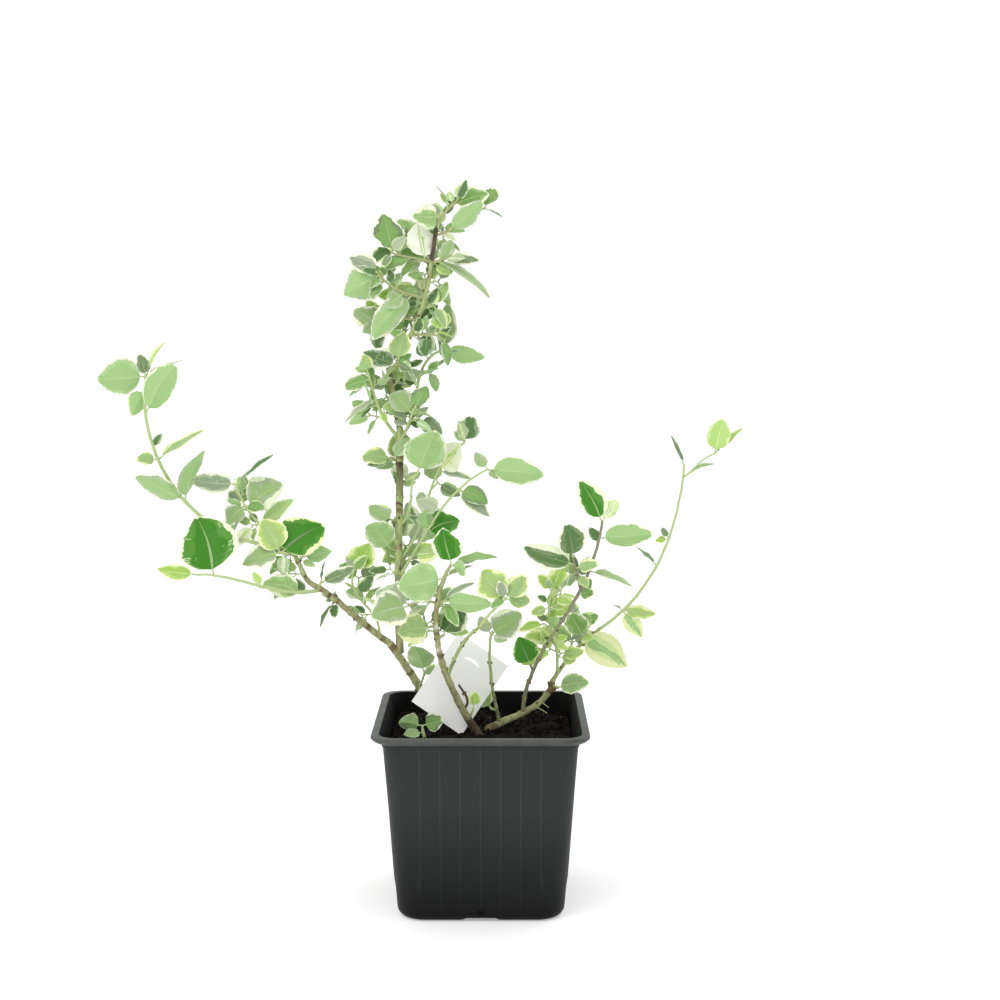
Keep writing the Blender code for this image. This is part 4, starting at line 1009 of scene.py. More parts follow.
@dataclass
class Batch:
    """Grids of quads that end up as one mesh, each face with a slot number."""

    points: list = field(default_factory=list)
    faces: list = field(default_factory=list)
    slots: list = field(default_factory=list)
    runs: list = field(default_factory=list)
    count: int = 0

    def add_grid(self, grid: np.ndarray, slots, closed: bool = False, run=None) -> None:
        """Adds a grid of points, rows by columns, as quads.

        Args:
            grid: points as rows x columns x 3.
            slots: slot number of each quad, or one number for all.
            closed: whether the last column joins the first.
            run: the run attribute, for each row or each point, where a finish reads it.
        """
        rows, columns = grid.shape[:2]
        number = np.arange(rows * columns).reshape(rows, columns) + self.count
        if closed:
            number = np.concatenate([number, number[:, :1]], axis=1)
        quads = np.stack(
            [number[:-1, :-1], number[:-1, 1:], number[1:, 1:], number[1:, :-1]], -1
        ).reshape(-1, 4)
        self.points.append(grid.reshape(-1, 3))
        self.faces.append(quads)
        self.slots.append(np.broadcast_to(np.asarray(slots).ravel(), len(quads)))
        run = np.zeros(1) if run is None else np.asarray(run)
        spread = run if run.ndim == 2 else run[:, None]
        self.runs.append(np.broadcast_to(spread, (rows, columns)).ravel())
        self.count += rows * columns

    def build(self, name: str, materials: list, angle: float = 60):
        """Makes one mesh object from everything added, its seams and poles welded.

        Args:
            name: the object's name.
            materials: one for each slot number.
            angle: edges between faces that meet at more than this, in degrees, stay sharp.

        Returns:
            The object.
        """
        points = np.concatenate(self.points).astype(np.float32)
        faces = np.concatenate(self.faces).astype(np.int32)
        mesh = bpy.data.meshes.new(name)
        mesh.vertices.add(len(points))
        mesh.vertices.foreach_set("co", points.ravel())
        mesh.loops.add(faces.size)
        mesh.loops.foreach_set("vertex_index", faces.ravel())
        mesh.polygons.add(len(faces))
        mesh.polygons.foreach_set("loop_start", np.arange(0, faces.size, 4, dtype=np.int32))
        mesh.polygons.foreach_set("loop_total", np.full(len(faces), 4, dtype=np.int32))
        for item in materials:
            mesh.materials.append(item)
        mesh.polygons.foreach_set("material_index", np.concatenate(self.slots).astype(np.int32))
        run = mesh.attributes.new("run", "FLOAT", "POINT")
        run.data.foreach_set("value", np.concatenate(self.runs).astype(np.float32))
        mesh.update(calc_edges=True)
        shape = bmesh.new()
        shape.from_mesh(mesh)
        bmesh.ops.remove_doubles(shape, verts=shape.verts, dist=WELD)
        shape.to_mesh(mesh)
        shape.free()
        mesh.shade_smooth()
        mesh.set_sharp_from_angle(angle=math.radians(angle))
        made = bpy.data.objects.new(name, mesh)
        bpy.context.scene.collection.objects.link(made)
        log.info("%s: %d faces", name, len(mesh.polygons))
        return made


def seat(piece, slot: str, *nodes: str):
    """Makes the piece ride on the plant's one body in place of the named solids."""
    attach(piece, "root")
    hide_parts(*nodes)
    return piece


class Foliage:
    """The leaves as fine folded blades of plain tints, one mesh for each region of the plant."""

    # faces from edge to midrib
    ZONES = ("margin", "outer", "centre", "centre", "rib")
    # centre, outer, rib and margin of each kind's upper face, and of its underside
    UPPERS = {
        "d": (
            (Tint.DARK_SOFT, Tint.GREY, Tint.GREY_SOFT, Tint.CREAM),
            (Tint.DARK, Tint.DARK_SOFT, Tint.DARK_SOFT, Tint.CREAM),
            (Tint.DARK, Tint.GREY, Tint.DARK_SOFT, Tint.WHITE),
        ),
        "e": (
            (Tint.DEEP, Tint.DEEP_SOFT, Tint.MID_SOFT, Tint.CREAM),
            (Tint.DEEP, Tint.DEEP_SOFT, Tint.DARK_SOFT, Tint.CREAM_YELLOW),
        ),
        "m": (
            (Tint.MID, Tint.MID_SOFT, Tint.FRESH, Tint.CREAM),
            (Tint.MID_SOFT, Tint.FRESH, Tint.FRESH, Tint.CREAM_YELLOW),
            (Tint.MID_SOFT, Tint.GREY_SOFT, Tint.FRESH, Tint.CREAM),
            (Tint.MID, Tint.DARK_SOFT, Tint.MID_SOFT, Tint.WHITE),
        ),
        "f": (
            (Tint.FRESH, Tint.UNDER, Tint.UNDER_SOFT, Tint.CREAM),
            (Tint.FRESH, Tint.YOUNG_SOFT, Tint.UNDER_SOFT, Tint.CREAM_YELLOW),
            (Tint.MID_SOFT, Tint.UNDER, Tint.UNDER_SOFT, Tint.CREAM),
        ),
        "g": (
            (Tint.GREY, Tint.GREY_SOFT, Tint.GREY_LIGHT, Tint.CREAM),
            (Tint.GREY_SOFT, Tint.GREY_LIGHT, Tint.UNDER_GREY, Tint.WHITE),
            (Tint.MID_SOFT, Tint.GREY_SOFT, Tint.GREY_LIGHT, Tint.CREAM),
        ),
        "y": (
            (Tint.YOUNG, Tint.YOUNG_SOFT, Tint.YOUNG_LIGHT, Tint.CREAM_YELLOW),
            (Tint.YOUNG_SOFT, Tint.YOUNG_LIGHT, Tint.YOUNG_LIGHT, Tint.CREAM_YELLOW),
            (Tint.FRESH, Tint.YOUNG_SOFT, Tint.YOUNG_LIGHT, Tint.CREAM_YELLOW),
        ),
        "l": ((Tint.LIME, Tint.LIME, Tint.YOUNG_LIGHT, Tint.YOUNG_LIGHT),),
        "w": ((Tint.UNDER, Tint.YOUNG_LIGHT, Tint.UNDER_SOFT, Tint.CREAM_YELLOW),),
        "c": (
            (Tint.YOUNG_SOFT, Tint.CREAM_YELLOW, Tint.CREAM, Tint.CREAM),
            (Tint.UNDER_SOFT, Tint.CREAM, Tint.WHITE, Tint.WHITE),
        ),
        "p": ((Tint.MID, Tint.FRESH, Tint.UNDER, Tint.CREAM),),
    }
    UNDERS = {
        "y": ((Tint.YOUNG_SOFT, Tint.YOUNG_LIGHT, Tint.YOUNG_LIGHT, Tint.CREAM_YELLOW),),
        "l": ((Tint.LIME, Tint.LIME, Tint.YOUNG_LIGHT, Tint.YOUNG_LIGHT),),
        "c": ((Tint.UNDER_SOFT, Tint.CREAM_YELLOW, Tint.CREAM, Tint.CREAM),),
        "g": ((Tint.UNDER_GREY, Tint.GREY_LIGHT, Tint.UNDER_SOFT, Tint.CREAM),),
        "p": (
            (Tint.UNDER, Tint.UNDER_SOFT, Tint.UNDER_SOFT, Tint.CREAM),
            (Tint.UNDER, Tint.UNDER, Tint.UNDER_SOFT, Tint.CREAM),
            (Tint.UNDER, Tint.UNDER_GREY, Tint.UNDER_SOFT, Tint.CREAM),
        ),
    }
    UNDER = ((Tint.UNDER, Tint.UNDER_SOFT, Tint.UNDER_SOFT, Tint.CREAM),)
    SOFT_MARGINS = (Tint.YOUNG_LIGHT, Tint.UNDER_SOFT, Tint.UNDER_GREY, Tint.CREAM)
    GREEN_REACH = {"c": 0.3, "w": 0.55, "p": 0.95, "e": 0.9}  # half width without the pale margin, where not usual
    USUAL_REACH, SMALL_REACH, UNEVEN_REACH = 0.82, 0.88, 0.6

    def __init__(self, plant: Plant) -> None:
        self.tints = list(Tint)
        self.batches = {region: Batch() for region in Region}
        for leaf in plant.leaves:
            self.add_leaf(leaf)

    def slots_of(self, choices: tuple, rows: int, ragged: float, soft: bool, rng) -> np.ndarray:
        """Deals tints to the faces of one side of a blade.

        Args:
            choices: the sets of four tints to pick from.
            rows: faces along the blade.
            ragged: share of the centre's and outer zone's faces that take each other's tint.
            soft: whether the margin may be a duller one, as on small leaves.
            rng: the leaf's own random numbers.

        Returns:
            Slot number of each face, rows by columns.
        """
        centre, outer, rib, margin = choices[rng.integers(len(choices))]
        if soft and margin in (Tint.CREAM, Tint.WHITE):
            margin = rng.choice(self.SOFT_MARGINS)
        tints = {"margin": margin, "outer": outer, "centre": centre, "rib": rib}
        side = [self.tints.index(tints[zone]) for zone in self.ZONES]
        slots = np.tile(side + side[::-1], (rows, 1))
        inner, outside = self.tints.index(centre), self.tints.index(outer)
        changed = np.where(slots == inner, outside, np.where(slots == outside, inner, slots))
        slots = np.where(rng.random(slots.shape) < ragged, changed, slots)
        slots[-1 - int(rng.integers(0, 2)) :] = self.tints.index(margin)
        return slots

    @staticmethod
    def outline(t: np.ndarray, teeth: int, rng) -> np.ndarray:
        """Half width over its greatest, along the blade.

        An egg shape, t^a (1 - t)^b over its greatest value, round at the foot and pointed at the
        tip. Its edge steps out slowly and back sharply at each tooth, so the teeth point to the
        tip.
        """
        foot, tip = rng.uniform(0.44, 0.58), rng.uniform(0.68, 0.98)
        most = foot**foot * tip**tip / (foot + tip) ** (foot + tip)
        inside = np.clip(t, 0, 1)
        body = inside**foot * (1 - inside) ** tip / most
        tooth = (t * teeth + rng.uniform(0, 1)) % 1
        edge = 1 + 0.1 * (tooth - 0.5) * np.clip((t - 0.12) * 6, 0, 1)
        waver = 1 + 0.05 * np.interp(t, np.linspace(0, 1, 7), rng.uniform(-1, 1, 7))
        return np.where((t <= 0) | (t >= 1), 0.0, body * edge * waver)

    def add_leaf(self, leaf: Leaf) -> None:
        """Adds one leaf: a closed blade and its stalk.

        Columns run from edge to edge over the upper face and back under it. A row slants
        forward from the midrib to the edge, as side veins do. Each zone ends at a share of the
        blade's half width that wanders along the leaf, so the pale margin is uneven. The blade
        is folded along its midrib, cupped, bowed sideways, twisted a little and wavy at its
        edges, and its side veins are shallow furrows.
        """
        rng = np.random.default_rng(leaf.seed)
        rows = 13 if leaf.length < FINE_LEAF else 20 if leaf.length < SMALL_LEAF else 32
        teeth = max(4, round(leaf.length / (2.0 * MM)))
        t = np.linspace(0, 1, rows)
        edge = t + 0.15 * np.sin(math.pi * t)
        edge[-1] = 1
        half = leaf.length * leaf.ratio / 2
        pale_side = rng.choice([-1, 0, 0, 0, 0, 0, 1])
        usual = self.SMALL_REACH if leaf.length < SMALL_LEAF else self.USUAL_REACH
        sides = []
        for hand in (-1, 1):
            width = self.outline(np.clip(edge, 0, 1), teeth, rng) * half
            base = self.UNEVEN_REACH if hand == pale_side else usual
            if leaf.kind != "e" or leaf.ratio > BROAD * 0.9:
                base = self.GREEN_REACH.get(leaf.kind, base)
            wander = np.interp(t, np.linspace(0, 1, 9), rng.uniform(-0.16, 0.12, 9))
            outer = np.clip(base + wander + rng.uniform(-0.02, 0.02, rows), 0.15, 0.95)
            depth = np.interp(t, np.linspace(0, 1, 8), rng.uniform(0.06, 0.42, 8))
            centre = np.clip(outer - depth, 0.12, 0.9)
            rib = np.minimum(0.055 * (1 - 0.7 * t), centre * 0.5)
            shares = np.array([np.ones(rows), outer, centre, (centre + rib) / 2, rib])
            sides.append((shares, hand * shares * width))
        (left, low), (right, high) = sides
        share = np.stack([*left, np.zeros(rows), *right[::-1]], -1)
        y = np.stack([*low, np.zeros(rows), *high[::-1]], -1)
        across = np.abs(y) / half
        place = t[:, None] + (np.clip(edge, 0, 1) - t)[:, None] * share
        x = leaf.stalk + leaf.length * place
        z = leaf.fold * np.abs(y) * (1 - rng.uniform(0.1, 0.5) * across)
        phase = 2 * math.pi * place * rng.uniform(1.5, 2.6) + np.sign(y) * rng.uniform(0, 2)
        z = z + rng.uniform(0.04, 0.13) * half * across**2 * np.sin(phase)
        z = z - 0.02 * half * np.sin(math.pi * across) * (np.arange(rows) % 3 == 0)[:, None]
        twist = rng.uniform(-0.3, 0.3) * (place - 0.3)
        bow = rng.uniform(-0.07, 0.07) * leaf.length * 4 * (place * (1 - place))
        y, z = y * np.cos(twist) - z * np.sin(twist) + bow, y * np.sin(twist) + z * np.cos(twist)
        thick = 0.13 * MM * (1 - share) * np.sqrt(np.abs(np.sin(math.pi * t)))[:, None]
        upper, under = leaf.place(x, y, z + thick), leaf.place(x, y, z - thick)
        blade = np.concatenate([upper[:, ::-1], under[:, 1:-1]], axis=1)
        small = leaf.length < SMALL_LEAF
        ragged = 0.0 if small or leaf.kind == "e" else 0.04
        unders = self.UNDERS.get(leaf.kind, self.UNDER)
        tops = self.slots_of(self.UPPERS[leaf.kind], rows - 1, ragged, small, rng)
        unders = self.slots_of(unders, rows - 1, 0.0, small, rng)
        batch = self.batches[Region.of(leaf.mass)]
        batch.add_grid(blade, np.concatenate([tops[:, ::-1], unders], axis=1), closed=True)
        self.add_stalk(batch, leaf)

    def add_stalk(self, batch: Batch, leaf: Leaf) -> None:
        """Adds the leaf's stalk as a thin closed tube that runs a little into the blade."""
        x = np.linspace(0, leaf.stalk + leaf.length * 0.1, 6)
        line = leaf.place(x, 0 * x, 0 * x - 0.12 * MM)
        radii = np.array([0, 0.4, 0.36, 0.3, 0.22, 0]) * MM * min(1, leaf.length / FINE_LEAF)
        rings = np.array(tube_rings(line, radii, 6))
        batch.add_grid(rings, self.tints.index(Tint.STALK), closed=True)

    def build(self) -> list:
        """Makes one mesh of leaves for each region, in place of that region's solids.

        Returns:
            The pieces.
        """
        skins = [Waxy(tint).build() for tint in self.tints]
        made = []
        for region, batch in self.batches.items():
            piece = batch.build("leaves_" + region.name.lower(), skins, 80)
            nodes = [node for node in MASS_NODES if Region.of(node) is region]
            made.append(seat(piece, "leaf", *nodes))
        return made


class Wood:
    """Twigs and limbs as round tubes with swollen nodes and uneven bark."""

    SPACING = 0.6  # mm between rings

    def __init__(self, plant: Plant) -> None:
        self.plant = plant

    def tube(self, stem: Stem, path: np.ndarray, sides: int, rough: float) -> tuple:
        """The stem's skin as rings, and each ring's share of its length.

        Its girth swells at each leaf node, and waves round and along it make the bark uneven.
        The line wanders a little between nodes.
        """
        rng = np.random.default_rng(crc32(stem.name.encode()) + 7)
        count = max(10, int(stem.length / self.SPACING))
        share = np.linspace(0, 1, count)
        knots = np.arange(STEPS + 1)
        line = np.stack([np.interp(share * STEPS, knots, path[:, k]) for k in range(3)], -1)
        wander = rng.uniform(-0.12, 0.12, (STEPS + 1, 3)) * MM * min(1.0, stem.length / 30)
        wander[[0, -1]] = 0
        line += np.stack([np.interp(share * STEPS, knots, wander[:, k]) for k in range(3)], -1)
        if stem.in_soil:
            line[0] = path[0] - unit(path[1] - path[0]) * 2.5 * MM
        else:
            core = along(self.plant.grown[stem.on][1], stem.at)[0]
            line[0] = core + (path[0] - core) * 0.35
        radius = stem.radius(share) * 0.94
        plain = np.cumsum(rng.uniform(4, 11, 40)) / stem.length
        nodes = [*(key for key in stem.leaves if key < 1), *plain[plain < 0.97]]
        for node in nodes:
            swell = rng.uniform(0.03, 0.13) * rough * stem.radius(0)
            radius = radius + swell * np.exp(-(((share - node) * stem.length / 0.9) ** 2))
        if stem.in_soil:
            radius = radius * (1 + FLARE * np.exp(-share * stem.length / 4))
        rings = np.array(tube_rings(line, radius, sides))
        angles = np.arange(sides)[None, :] * 2 * math.pi / sides
        run = share[:, None] * stem.length
        grain = sum(
            rng.uniform(0.4, 1) * np.sin(k * angles + run * f + rng.uniform(0, 6))
            for k, f in ((1, 0.2), (2, 0.35), (3, 0.7), (5, 1.1), (7, 2.0))
        )
        centre = line[:, None, :]
        return centre + (rings - centre) * (1 + 0.035 * rough * grain)[:, :, None], share

    @staticmethod
    def cap(batch: Batch, rings: np.ndarray, slot: int) -> None:
        """Closes both ends of a tube with small domes."""
        for end, inward, order, run in ((0, 1, -1, 0.0), (-1, -2, 1, 1.0)):
            ring = rings[end]
            centre = ring.mean(axis=0)
            out = unit(centre - rings[inward].mean(axis=0))
            size = np.linalg.norm(ring - centre, axis=1).mean()
            mid = centre + (ring - centre) * 0.6 + out * size * 0.25
            tip = np.broadcast_to(centre + out * size * 0.35, ring.shape)
            grid = np.stack([ring, mid, tip])[::order]
            batch.add_grid(grid, slot, closed=True, run=np.full(3, run))

    def build_limbs(self) -> list:
        """Makes one bark mesh per limb.

        Returns:
            The pieces.
        """
        made = []
        for name in LIMB_NODES:
            stem, path = self.plant.grown[name]
            batch = Batch()
            rings, share = self.tube(stem, path, 28, 1.0)
            batch.add_grid(rings, 0, closed=True, run=share)
            self.cap(batch, rings, 0)
            self.add_buds(batch, stem, path)
            bark = BARKS[name].build("bark_of_" + name)
            skins = [bark, Waxy(Tint.UMBER, 0.8, 0.4).build()]
            made.append(seat(batch.build("bark_" + name, skins), "bark", name))
        return made

    def add_buds(self, batch: Batch, stem: Stem, path: np.ndarray) -> None:
        """Adds small dark resting buds in pairs along a limb, sunk into its bark."""
        rng = np.random.default_rng(crc32(stem.name.encode()) + 9)
        place = rng.uniform(3, 7)
        while place < stem.length - 3:
            share = place / stem.length
            point, way = along(path, share)
            side = unit(np.cross(way, rng.normal(size=3)))
            for hand in (-1, 1):
                size = rng.uniform(0.3, 0.55) * MM
                centre = point + side * hand * (stem.radius(share) + size * 0.15)
                tall = unit(way + side * hand * 0.5)
                flat = unit(np.cross(tall, side))
                lump = ball(6, 8) * size
                shape = lump[..., :1] * unit(np.cross(flat, tall)) + lump[..., 1:2] * flat
                shape = centre + shape + lump[..., 2:] * 1.7 * tall
                batch.add_grid(shape, 1, closed=True)
            place += rng.uniform(5, 12)

    @staticmethod
    def twig_tint(name: str) -> Tint:
        """The tint of a twig: umber for a stub, brown or olive on the older wood, else green."""
        if name in {stub.name for stub in STUBS}:
            return Tint.STALK if "root" in name else Tint.UMBER
        if name.startswith("dark_"):
            return Tint.BROWN
        if name.startswith(("crown_", "front_", "trunk_")) and "_fine_" not in name:
            return Tint.OLIVE
        return Tint.STALK

    def build_twigs(self):
        """Makes every leafy twig, and the stubs, in one mesh.

        Returns:
            The piece.
        """
        batch, tints = Batch(), (Tint.STALK, Tint.OLIVE, Tint.BROWN, Tint.UMBER)
        stubs = {
            stub.name: (stub, stem_path(stub, along(self.plant.grown[stub.on][1], stub.at)[0]))
            for stub in STUBS
        }
        for name, (stem, path) in (self.plant.grown | stubs).items():
            if name in LIMB_NODES:
                continue
            slot = tints.index(self.twig_tint(name))
            rings, _ = self.tube(stem, path, 8 if "_fine_" in name else 12, 0.8)
            batch.add_grid(rings, slot, closed=True)
            self.cap(batch, rings, slot)
        skins = [Waxy(tint, 0.6, 0.4).build() for tint in tints]
        return seat(batch.build("twigs", skins), "leaf", *MASS_NODES)


def ball(rows: int, columns: int) -> np.ndarray:
    """A sphere of radius one as a grid from pole to pole."""
    u, v = np.linspace(0, math.pi, rows), np.linspace(0, 2 * math.pi, columns, endpoint=False)
    flat = np.outer(np.sin(u), np.cos(v)), np.outer(np.sin(u), np.sin(v))
    return np.stack([*flat, np.outer(np.cos(u), np.ones(columns))], -1)


def square_ring(half: float, radius: float, height: float, places: np.ndarray) -> np.ndarray:
    """A level ring: a square with round corners, corner by corner.

    Args:
        half, radius, height: the square's half width, its corners' radius and its height.
        places: where each side's points lie, from its middle; those past its ends are drawn in.

    Returns:
        The ring's points.
    """
    flat = half - radius
    quarter = np.linspace(0, math.pi / 2, 9)
    straight = np.clip(places[::-1], -flat, flat)
    points = []
    for corner in range(4):
        turn = corner * math.pi / 2
        arc = np.stack([flat + radius * np.cos(quarter), flat + radius * np.sin(quarter)], -1)
        edge = np.stack([straight, np.full(len(straight), half)], -1)
        spin = np.array([[math.cos(turn), math.sin(turn)], [-math.sin(turn), math.cos(turn)]])
        points.append(np.concatenate([arc, edge]) @ spin)
    level = np.concatenate(points)
    return np.column_stack([level, np.full(len(level), height)])


class Pot:
    """The nursery pot: ribbed walls, an upright band under a thin overhanging lip, notched foot."""

    @staticmethod
    def half(height: float) -> float:
        """Half width of the outer wall at a height, below the flare."""
        share = height / (POT_HEIGHT - FLARE_HEIGHT)
        return (BASE_WIDTH + (NECK_WIDTH - BASE_WIDTH) * share) / 2

    @staticmethod
    def corner(height: float) -> float:
        """Radius of the corners at a height."""
        share = min(height / (POT_HEIGHT - FLARE_HEIGHT), 1)
        return BASE_CORNER + (CORNER_RADIUS - BASE_CORNER) * share

    def profile(self) -> list:
        """Rows from the underside's edge up the outside, over the lip and down the inside.

        Returns:
            Half width, corner radius, height and slot of each row.
        """
        neck, rim = POT_HEIGHT - FLARE_HEIGHT, RIM_WIDTH / 2
        rows = [(self.half(0) - 6 * MM, BASE_CORNER - 6 * MM, 0.0, 0)]
        for a in np.linspace(0, math.pi / 2, 7):
            inset, rise = FOOT_ROUNDING * (1 - math.sin(a)), FOOT_ROUNDING * (1 - math.cos(a))
            rows.append((self.half(FOOT_ROUNDING) - inset, BASE_CORNER - inset, rise, 0))
        under = POT_HEIGHT - 3.3 * MM
        collar = under - COLLAR_HEIGHT
        heights = [*np.linspace(FOOT_ROUNDING + MM / 2, collar, 28), collar + 0.4 * MM, under]
        for z in heights:
            step = COLLAR_STEP if z > collar else 0
            rows.append((self.half(z) + step, self.corner(z), z, 0))
        # slot 1: the lip, lighter as a painted highlight
        rows += [
            (half, CORNER_RADIUS, POT_HEIGHT - drop * MM, slot)
            for half, drop, slot in (
                (rim - 2.9 * MM, 3.1, 1), (rim - 2 * MM, 3.0, 1), (rim - 1.3 * MM, 2.6, 1),
                (rim - 0.7 * MM, 1.9, 1), (rim - 0.2 * MM, 1.4, 1), (rim, 1.1, 1), (rim, 0.5, 1),
            )
        ]
        for a in np.linspace(0, math.pi / 2, 4)[1:]:
            round_in, round_up = 0.5 * MM * (1 - math.cos(a)), 0.5 * MM * (1 - math.sin(a))
            rows.append((rim - round_in, CORNER_RADIUS, POT_HEIGHT - round_up, 1))
        inner = CORNER_RADIUS - WALL
        # slot 2: the inside, near-black as painted shade
        return rows + [
            (rim - LIP_WIDTH, inner, POT_HEIGHT, 2),
            (rim - LIP_WIDTH - 0.5 * MM, inner, POT_HEIGHT - 0.6 * MM, 2),
            (self.half(neck) - WALL, inner, neck + 0.2 * MM, 2),
            (self.half(60 * MM) - WALL, self.corner(60 * MM) - WALL, 60 * MM, 2),
            (self.half(FLOOR) - WALL, BASE_CORNER - WALL, FLOOR, 2),
        ]

    @staticmethod
    def columns() -> np.ndarray:
        """Where each side's points lie: close together at every rib, and evenly between."""
        ribs = np.arange(-3, 4) * RIB_SPACING
        near = ribs[:, None] + np.array([-1, -0.6, -0.25, 0, 0.25, 0.6, 1]) * RIB_WIDTH
        between = ribs[:-1, None] + np.array([0.3, 0.5, 0.7]) * RIB_SPACING
        outer = np.array([0.35, 0.7]) * RIB_SPACING + ribs[-1]
        return np.sort(np.concatenate([near.ravel(), between.ravel(), outer, -outer]))

    @staticmethod
    def ribs_of(rings: np.ndarray) -> np.ndarray:
        """How far each point is up a rib, from none to one: a bell over the rib's width that
        fades out near the foot and the band."""
        x, y, z = np.moveaxis(rings, -1, 0)
        run = np.where(np.abs(x) > np.abs(y), y, x)
        off = (run / RIB_SPACING + 0.5) % 1 - 0.5
        ridge = np.exp(-((off * RIB_SPACING / (0.45 * RIB_WIDTH)) ** 2))
        top = POT_HEIGHT - FLARE_HEIGHT
        fade = np.clip((top - z) / MM, 0, 1) * np.clip((z - FOOT_ROUNDING - MM) / (2 * MM), 0, 1)
        return ridge * fade * (np.abs(run) < RIBBED_WIDTH / 2)

    @staticmethod
    def notched(rings: np.ndarray) -> np.ndarray:
        """The rings with the foot raised at the middle of each side."""
        x, y, z = np.moveaxis(rings, -1, 0)
        run = np.where(np.abs(x) > np.abs(y), y, x)
        slope = 1.4 * MM
        ease = np.clip((NOTCH_WIDTH / 2 + slope / 2 - np.abs(run)) / slope, 0, 1)
        near = np.maximum(np.abs(x), np.abs(y)) > Pot.half(0) - 7 * MM
        raised = np.where((z < NOTCH_HEIGHT) & near, np.maximum(z, NOTCH_HEIGHT * ease), z)
        return np.stack([x, y, raised], -1)

    def build(self):
        """Makes the pot's skin from its profile, with its floor, underside and drain's eye, a dish of painted
        shade.

        Returns:
            The piece.
        """
        rows, columns = self.profile(), self.columns()
        outer = [row[3] < 2 for row in rows].count(True)
        rings = np.array([square_ring(*row[:3], columns) for row in rows])
        ribs = np.zeros(rings.shape[:2])
        ribs[:outer] = self.ribs_of(rings[:outer])
        rings[..., :2] *= 1 + (RIB_HEIGHT / (BASE_WIDTH / 2) * ribs)[..., None]
        rings[:outer] = self.notched(rings[:outer])
        batch = Batch()
        tones = np.array([row[3] for row in rows])
        slots = np.repeat(np.maximum(tones[1:], tones[:-1])[:, None], rings.shape[1], axis=1)
        # slot 2, the inside and its floor, stays near-black as painted shade
        slots[tones[1:] == 2] = 2
        # the face across the lip's top takes the lip's painted highlight too
        slots[outer - 1] = 1
        # the run attribute carries the ribs, which the plastic lightens as a painted highlight
        batch.add_grid(rings, slots, closed=True, run=ribs)
        for ring, inside in ((rings[0], False), (rings[-1], True)):
            centre = ring.mean(axis=0)
            grid = np.stack([centre + (ring - centre) * s for s in (0, 0.5, 1)])
            batch.add_grid(grid[::-1] if inside else grid, 2 if inside else 0, closed=True)
        # the drain hole as a dish of painted shade
        batch.add_grid(self.drain_shade_dish(), 2, closed=True)
        skins = [finish.build() for finish in (POT_PLASTIC_PAINTED_LIGHT, POT_LIP_PAINTED_HIGHLIGHT, POT_INSIDE_PAINTED_SHADE)]
        return seat(batch.build("nursery_pot", skins, 40), "black_plastic", "pot")

    def drain_shade_dish(self) -> np.ndarray:
        """The front drain hole: a near-black dish set just proud of the wall, painted shade in place of an
        opening.
        """
        y = -self.half(DRAIN_HEIGHT)
        angles = np.linspace(0, 2 * math.pi, 24, endpoint=False)
        wide, tall = np.cos(angles) * DRAIN_RADIUS, np.sin(angles) * DRAIN_RADIUS * 0.8
        rows = [(0, 0.1), (1.0, 0.1), (0.95, -0.12), (0.6, -0.1), (0, -0.1)]
        return np.array([
            np.stack([scale * wide, np.full(24, y + off * MM), DRAIN_HEIGHT + scale * tall], -1)
            for scale, off in rows
        ])


class Soil:
    """Peat with an uneven top, loose crumbs, and a few pale bits."""

    def ground(self) -> Batch:
        """A rounded-square dish of peat: height is the level top less the drop at the wall,
        plus waves of several sizes."""
        rng = np.random.default_rng(5)
        half = Pot.half(SOIL_EDGE) - WALL - CLEAR
        corner, foot = Pot.corner(SOIL_EDGE) - WALL, BASE_CORNER - WALL
        columns = np.linspace(-1, 1, 60)[1:-1]
        rings = []
        for share in np.linspace(0, 1, 60):
            flat = (half - corner) * share
            ring = square_ring(half * share, corner * share, 0.0, columns * flat)
            drop = np.clip((share - 0.74) / 0.26, 0, 1) ** 2 * (SOIL_TOP - SOIL_EDGE)
            ring[:, 2] = SOIL_TOP - drop
            rings.append(ring)
        base = Pot.half(FLOOR) - WALL - CLEAR
        low = square_ring(base, foot, FLOOR + CLEAR, columns * (base - foot))
        grid = np.array(rings)
        x, y = grid[..., 0] / MM, grid[..., 1] / MM
        relief = sum(
            rng.uniform(0.3, 0.6) / f
            * np.sin(f * (x * math.cos(a) + y * math.sin(a)) + rng.uniform(0, 6))
            for f in (0.35, 0.6, 0.9, 1.4, 2.1, 2.9)
            for a in rng.uniform(0, math.pi, 3)
        )
        grid[..., 2] += relief * 0.35 * MM - 0.1 * MM
        batch = Batch()
        batch.add_grid(np.concatenate([grid, [low]])[::-1], 0, closed=True)
        centre = low.mean(axis=0)
        batch.add_grid(np.stack([low, np.broadcast_to(centre, low.shape)])[::-1], 0, closed=True)
        return batch

    @staticmethod
    def crumbs(count: int, sizes: tuple, seed: int, reach: float = 36) -> Batch:
        """Small uneven lumps strewn on the peat: squashed spheres of six by eight points.

        Args:
            count, sizes: how many, and their least and greatest radius in mm.
            seed: picks their places and shapes.
            reach: how far from the middle they lie, in mm.
        """
        rng = np.random.default_rng(seed)
        batch = Batch()
        for _ in range(count):
            size = rng.uniform(*sizes) * MM
            lumps = 1 + 0.25 * rng.normal(size=(6, 8, 1)).clip(-1, 1)
            shape = ball(6, 8) * rng.uniform(0.5, 1.1, 3) * size * lumps
            place = np.array([*rng.uniform(-reach, reach, 2) * MM, SOIL_TOP + size * 0.3])
            batch.add_grid(shape + place, 0, closed=True)
        return batch

    def build(self) -> list:
        """Ground, crumbs and pale bits."""
        made = [
            self.ground().build("peat_top", [PEAT.build()], 180),
            self.crumbs(900, (0.3, 1.0), 11).build("peat_crumbs", [PEAT_CRUMB.build()], 180),
            self.crumbs(26, (0.2, 0.5), 12).build("pale_bits", [PALE_BITS.build()], 180),
        ]
        return [seat(piece, "peat", "soil") for piece in made]


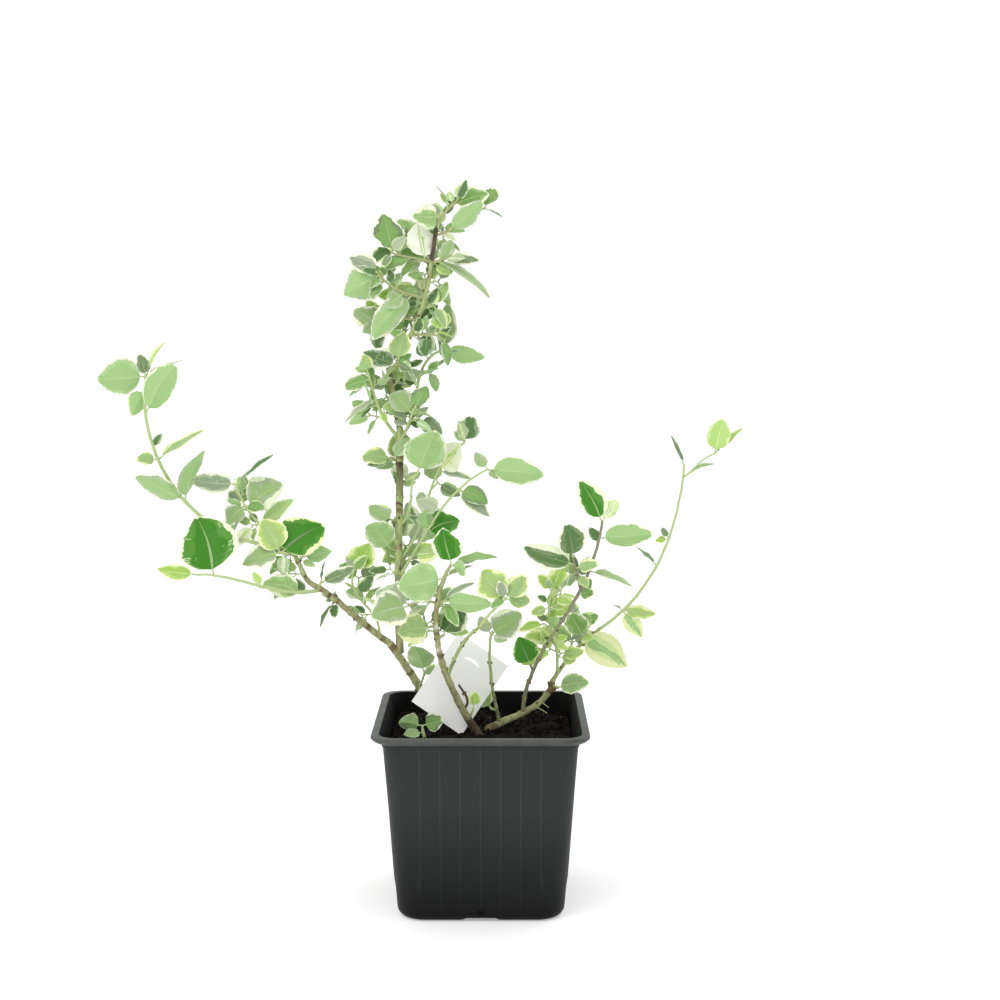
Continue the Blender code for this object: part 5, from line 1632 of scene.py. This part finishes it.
class Studio:
    """White floor and sky, a soft key lamp and the photo's camera."""

    GLOW = 0.3  # share of the floor's light that it gives off itself, so shadows stay faint
    SKY = 1.05
    FLOOR_REACH = 6.0

    def build(self) -> None:
        """Adds the floor, the lights, the world and the camera."""
        batch = Batch()
        reach = self.FLOOR_REACH
        batch.add_grid(np.array([[(x, y, 0) for x in (-reach, reach)] for y in (-2, reach)]), 0)
        paper = new_material("studio_paper")
        shader = paper.node_tree.nodes["Principled BSDF"]
        shader.inputs["Base Color"].default_value = (0.8, 0.8, 0.8, 1)
        shader.inputs["Roughness"].default_value = 0.95
        shader.inputs["Emission Color"].default_value = (1, 1, 1, 1)
        shader.inputs["Emission Strength"].default_value = self.GLOW
        batch.build("studio_floor", [paper], 180)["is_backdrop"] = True
        self.lamp("key_light", (-0.7, -0.8, 1.3), 0.6, 5.0)
        self.lamp("rim_light", (0.7, 0.7, 0.9), 0.8, 2.0)
        world = bpy.data.worlds.new("studio_world")
        world.use_nodes = True
        world.node_tree.nodes["Background"].inputs["Color"].default_value = (1, 1, 1, 1)
        world.node_tree.nodes["Background"].inputs["Strength"].default_value = self.SKY
        bpy.context.scene.world = world
        # plain sRGB, so that each tint shows as it is named
        bpy.context.scene.view_settings.view_transform = "Standard"
        camera = bpy.data.cameras.new("camera")
        camera.lens = CAMERA_LENS
        camera.clip_start = 0.01
        made = bpy.data.objects.new("camera", camera)
        made.location = CAMERA_PLACE
        made.rotation_euler = (math.radians(90 - CAMERA_PITCH), 0, 0)
        bpy.context.scene.collection.objects.link(made)
        bpy.context.scene.camera = made

    @staticmethod
    def lamp(name: str, place: tuple, size: float, power: float) -> None:
        """A square soft light of the given size and power, aimed at the middle of the plant."""
        light = bpy.data.lights.new(name, "AREA")
        light.size = size
        light.energy = power
        made = bpy.data.objects.new(name, light)
        made.location = place
        way = np.array([0, 0, 0.15]) - np.array(place)
        tilt = math.atan2(math.hypot(way[0], way[1]), -way[2])
        made.rotation_euler = (tilt, 0, math.atan2(way[0], -way[1]) + math.pi)
        bpy.context.scene.collection.objects.link(made)


def finish_label(frame: dict) -> None:
    """Gives the label's own solid its white plastic."""
    label = frame["nodes"]["plant_label"]
    label.data.materials.clear()
    label.data.materials.append(LABEL_PLASTIC.build())


def main() -> None:
    """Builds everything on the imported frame."""
    logging.basicConfig(level=logging.INFO, format="%(message)s")
    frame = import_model()
    solid_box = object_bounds()
    plant = Plant()
    log.info("%d leaves on %d stems", len(plant.leaves), len(plant.grown))
    log.info("%d of them as in the solids", plant.solid_leaves)
    wood = Wood(plant)
    wood.build_limbs()
    wood.build_twigs()
    Foliage(plant).build()
    Pot().build()
    Soil().build()
    finish_label(frame)
    Studio().build()
    looks_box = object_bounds()
    [np.array(box).tolist() for box in (solid_box, looks_box)]


if __name__ == "__main__":
    main()
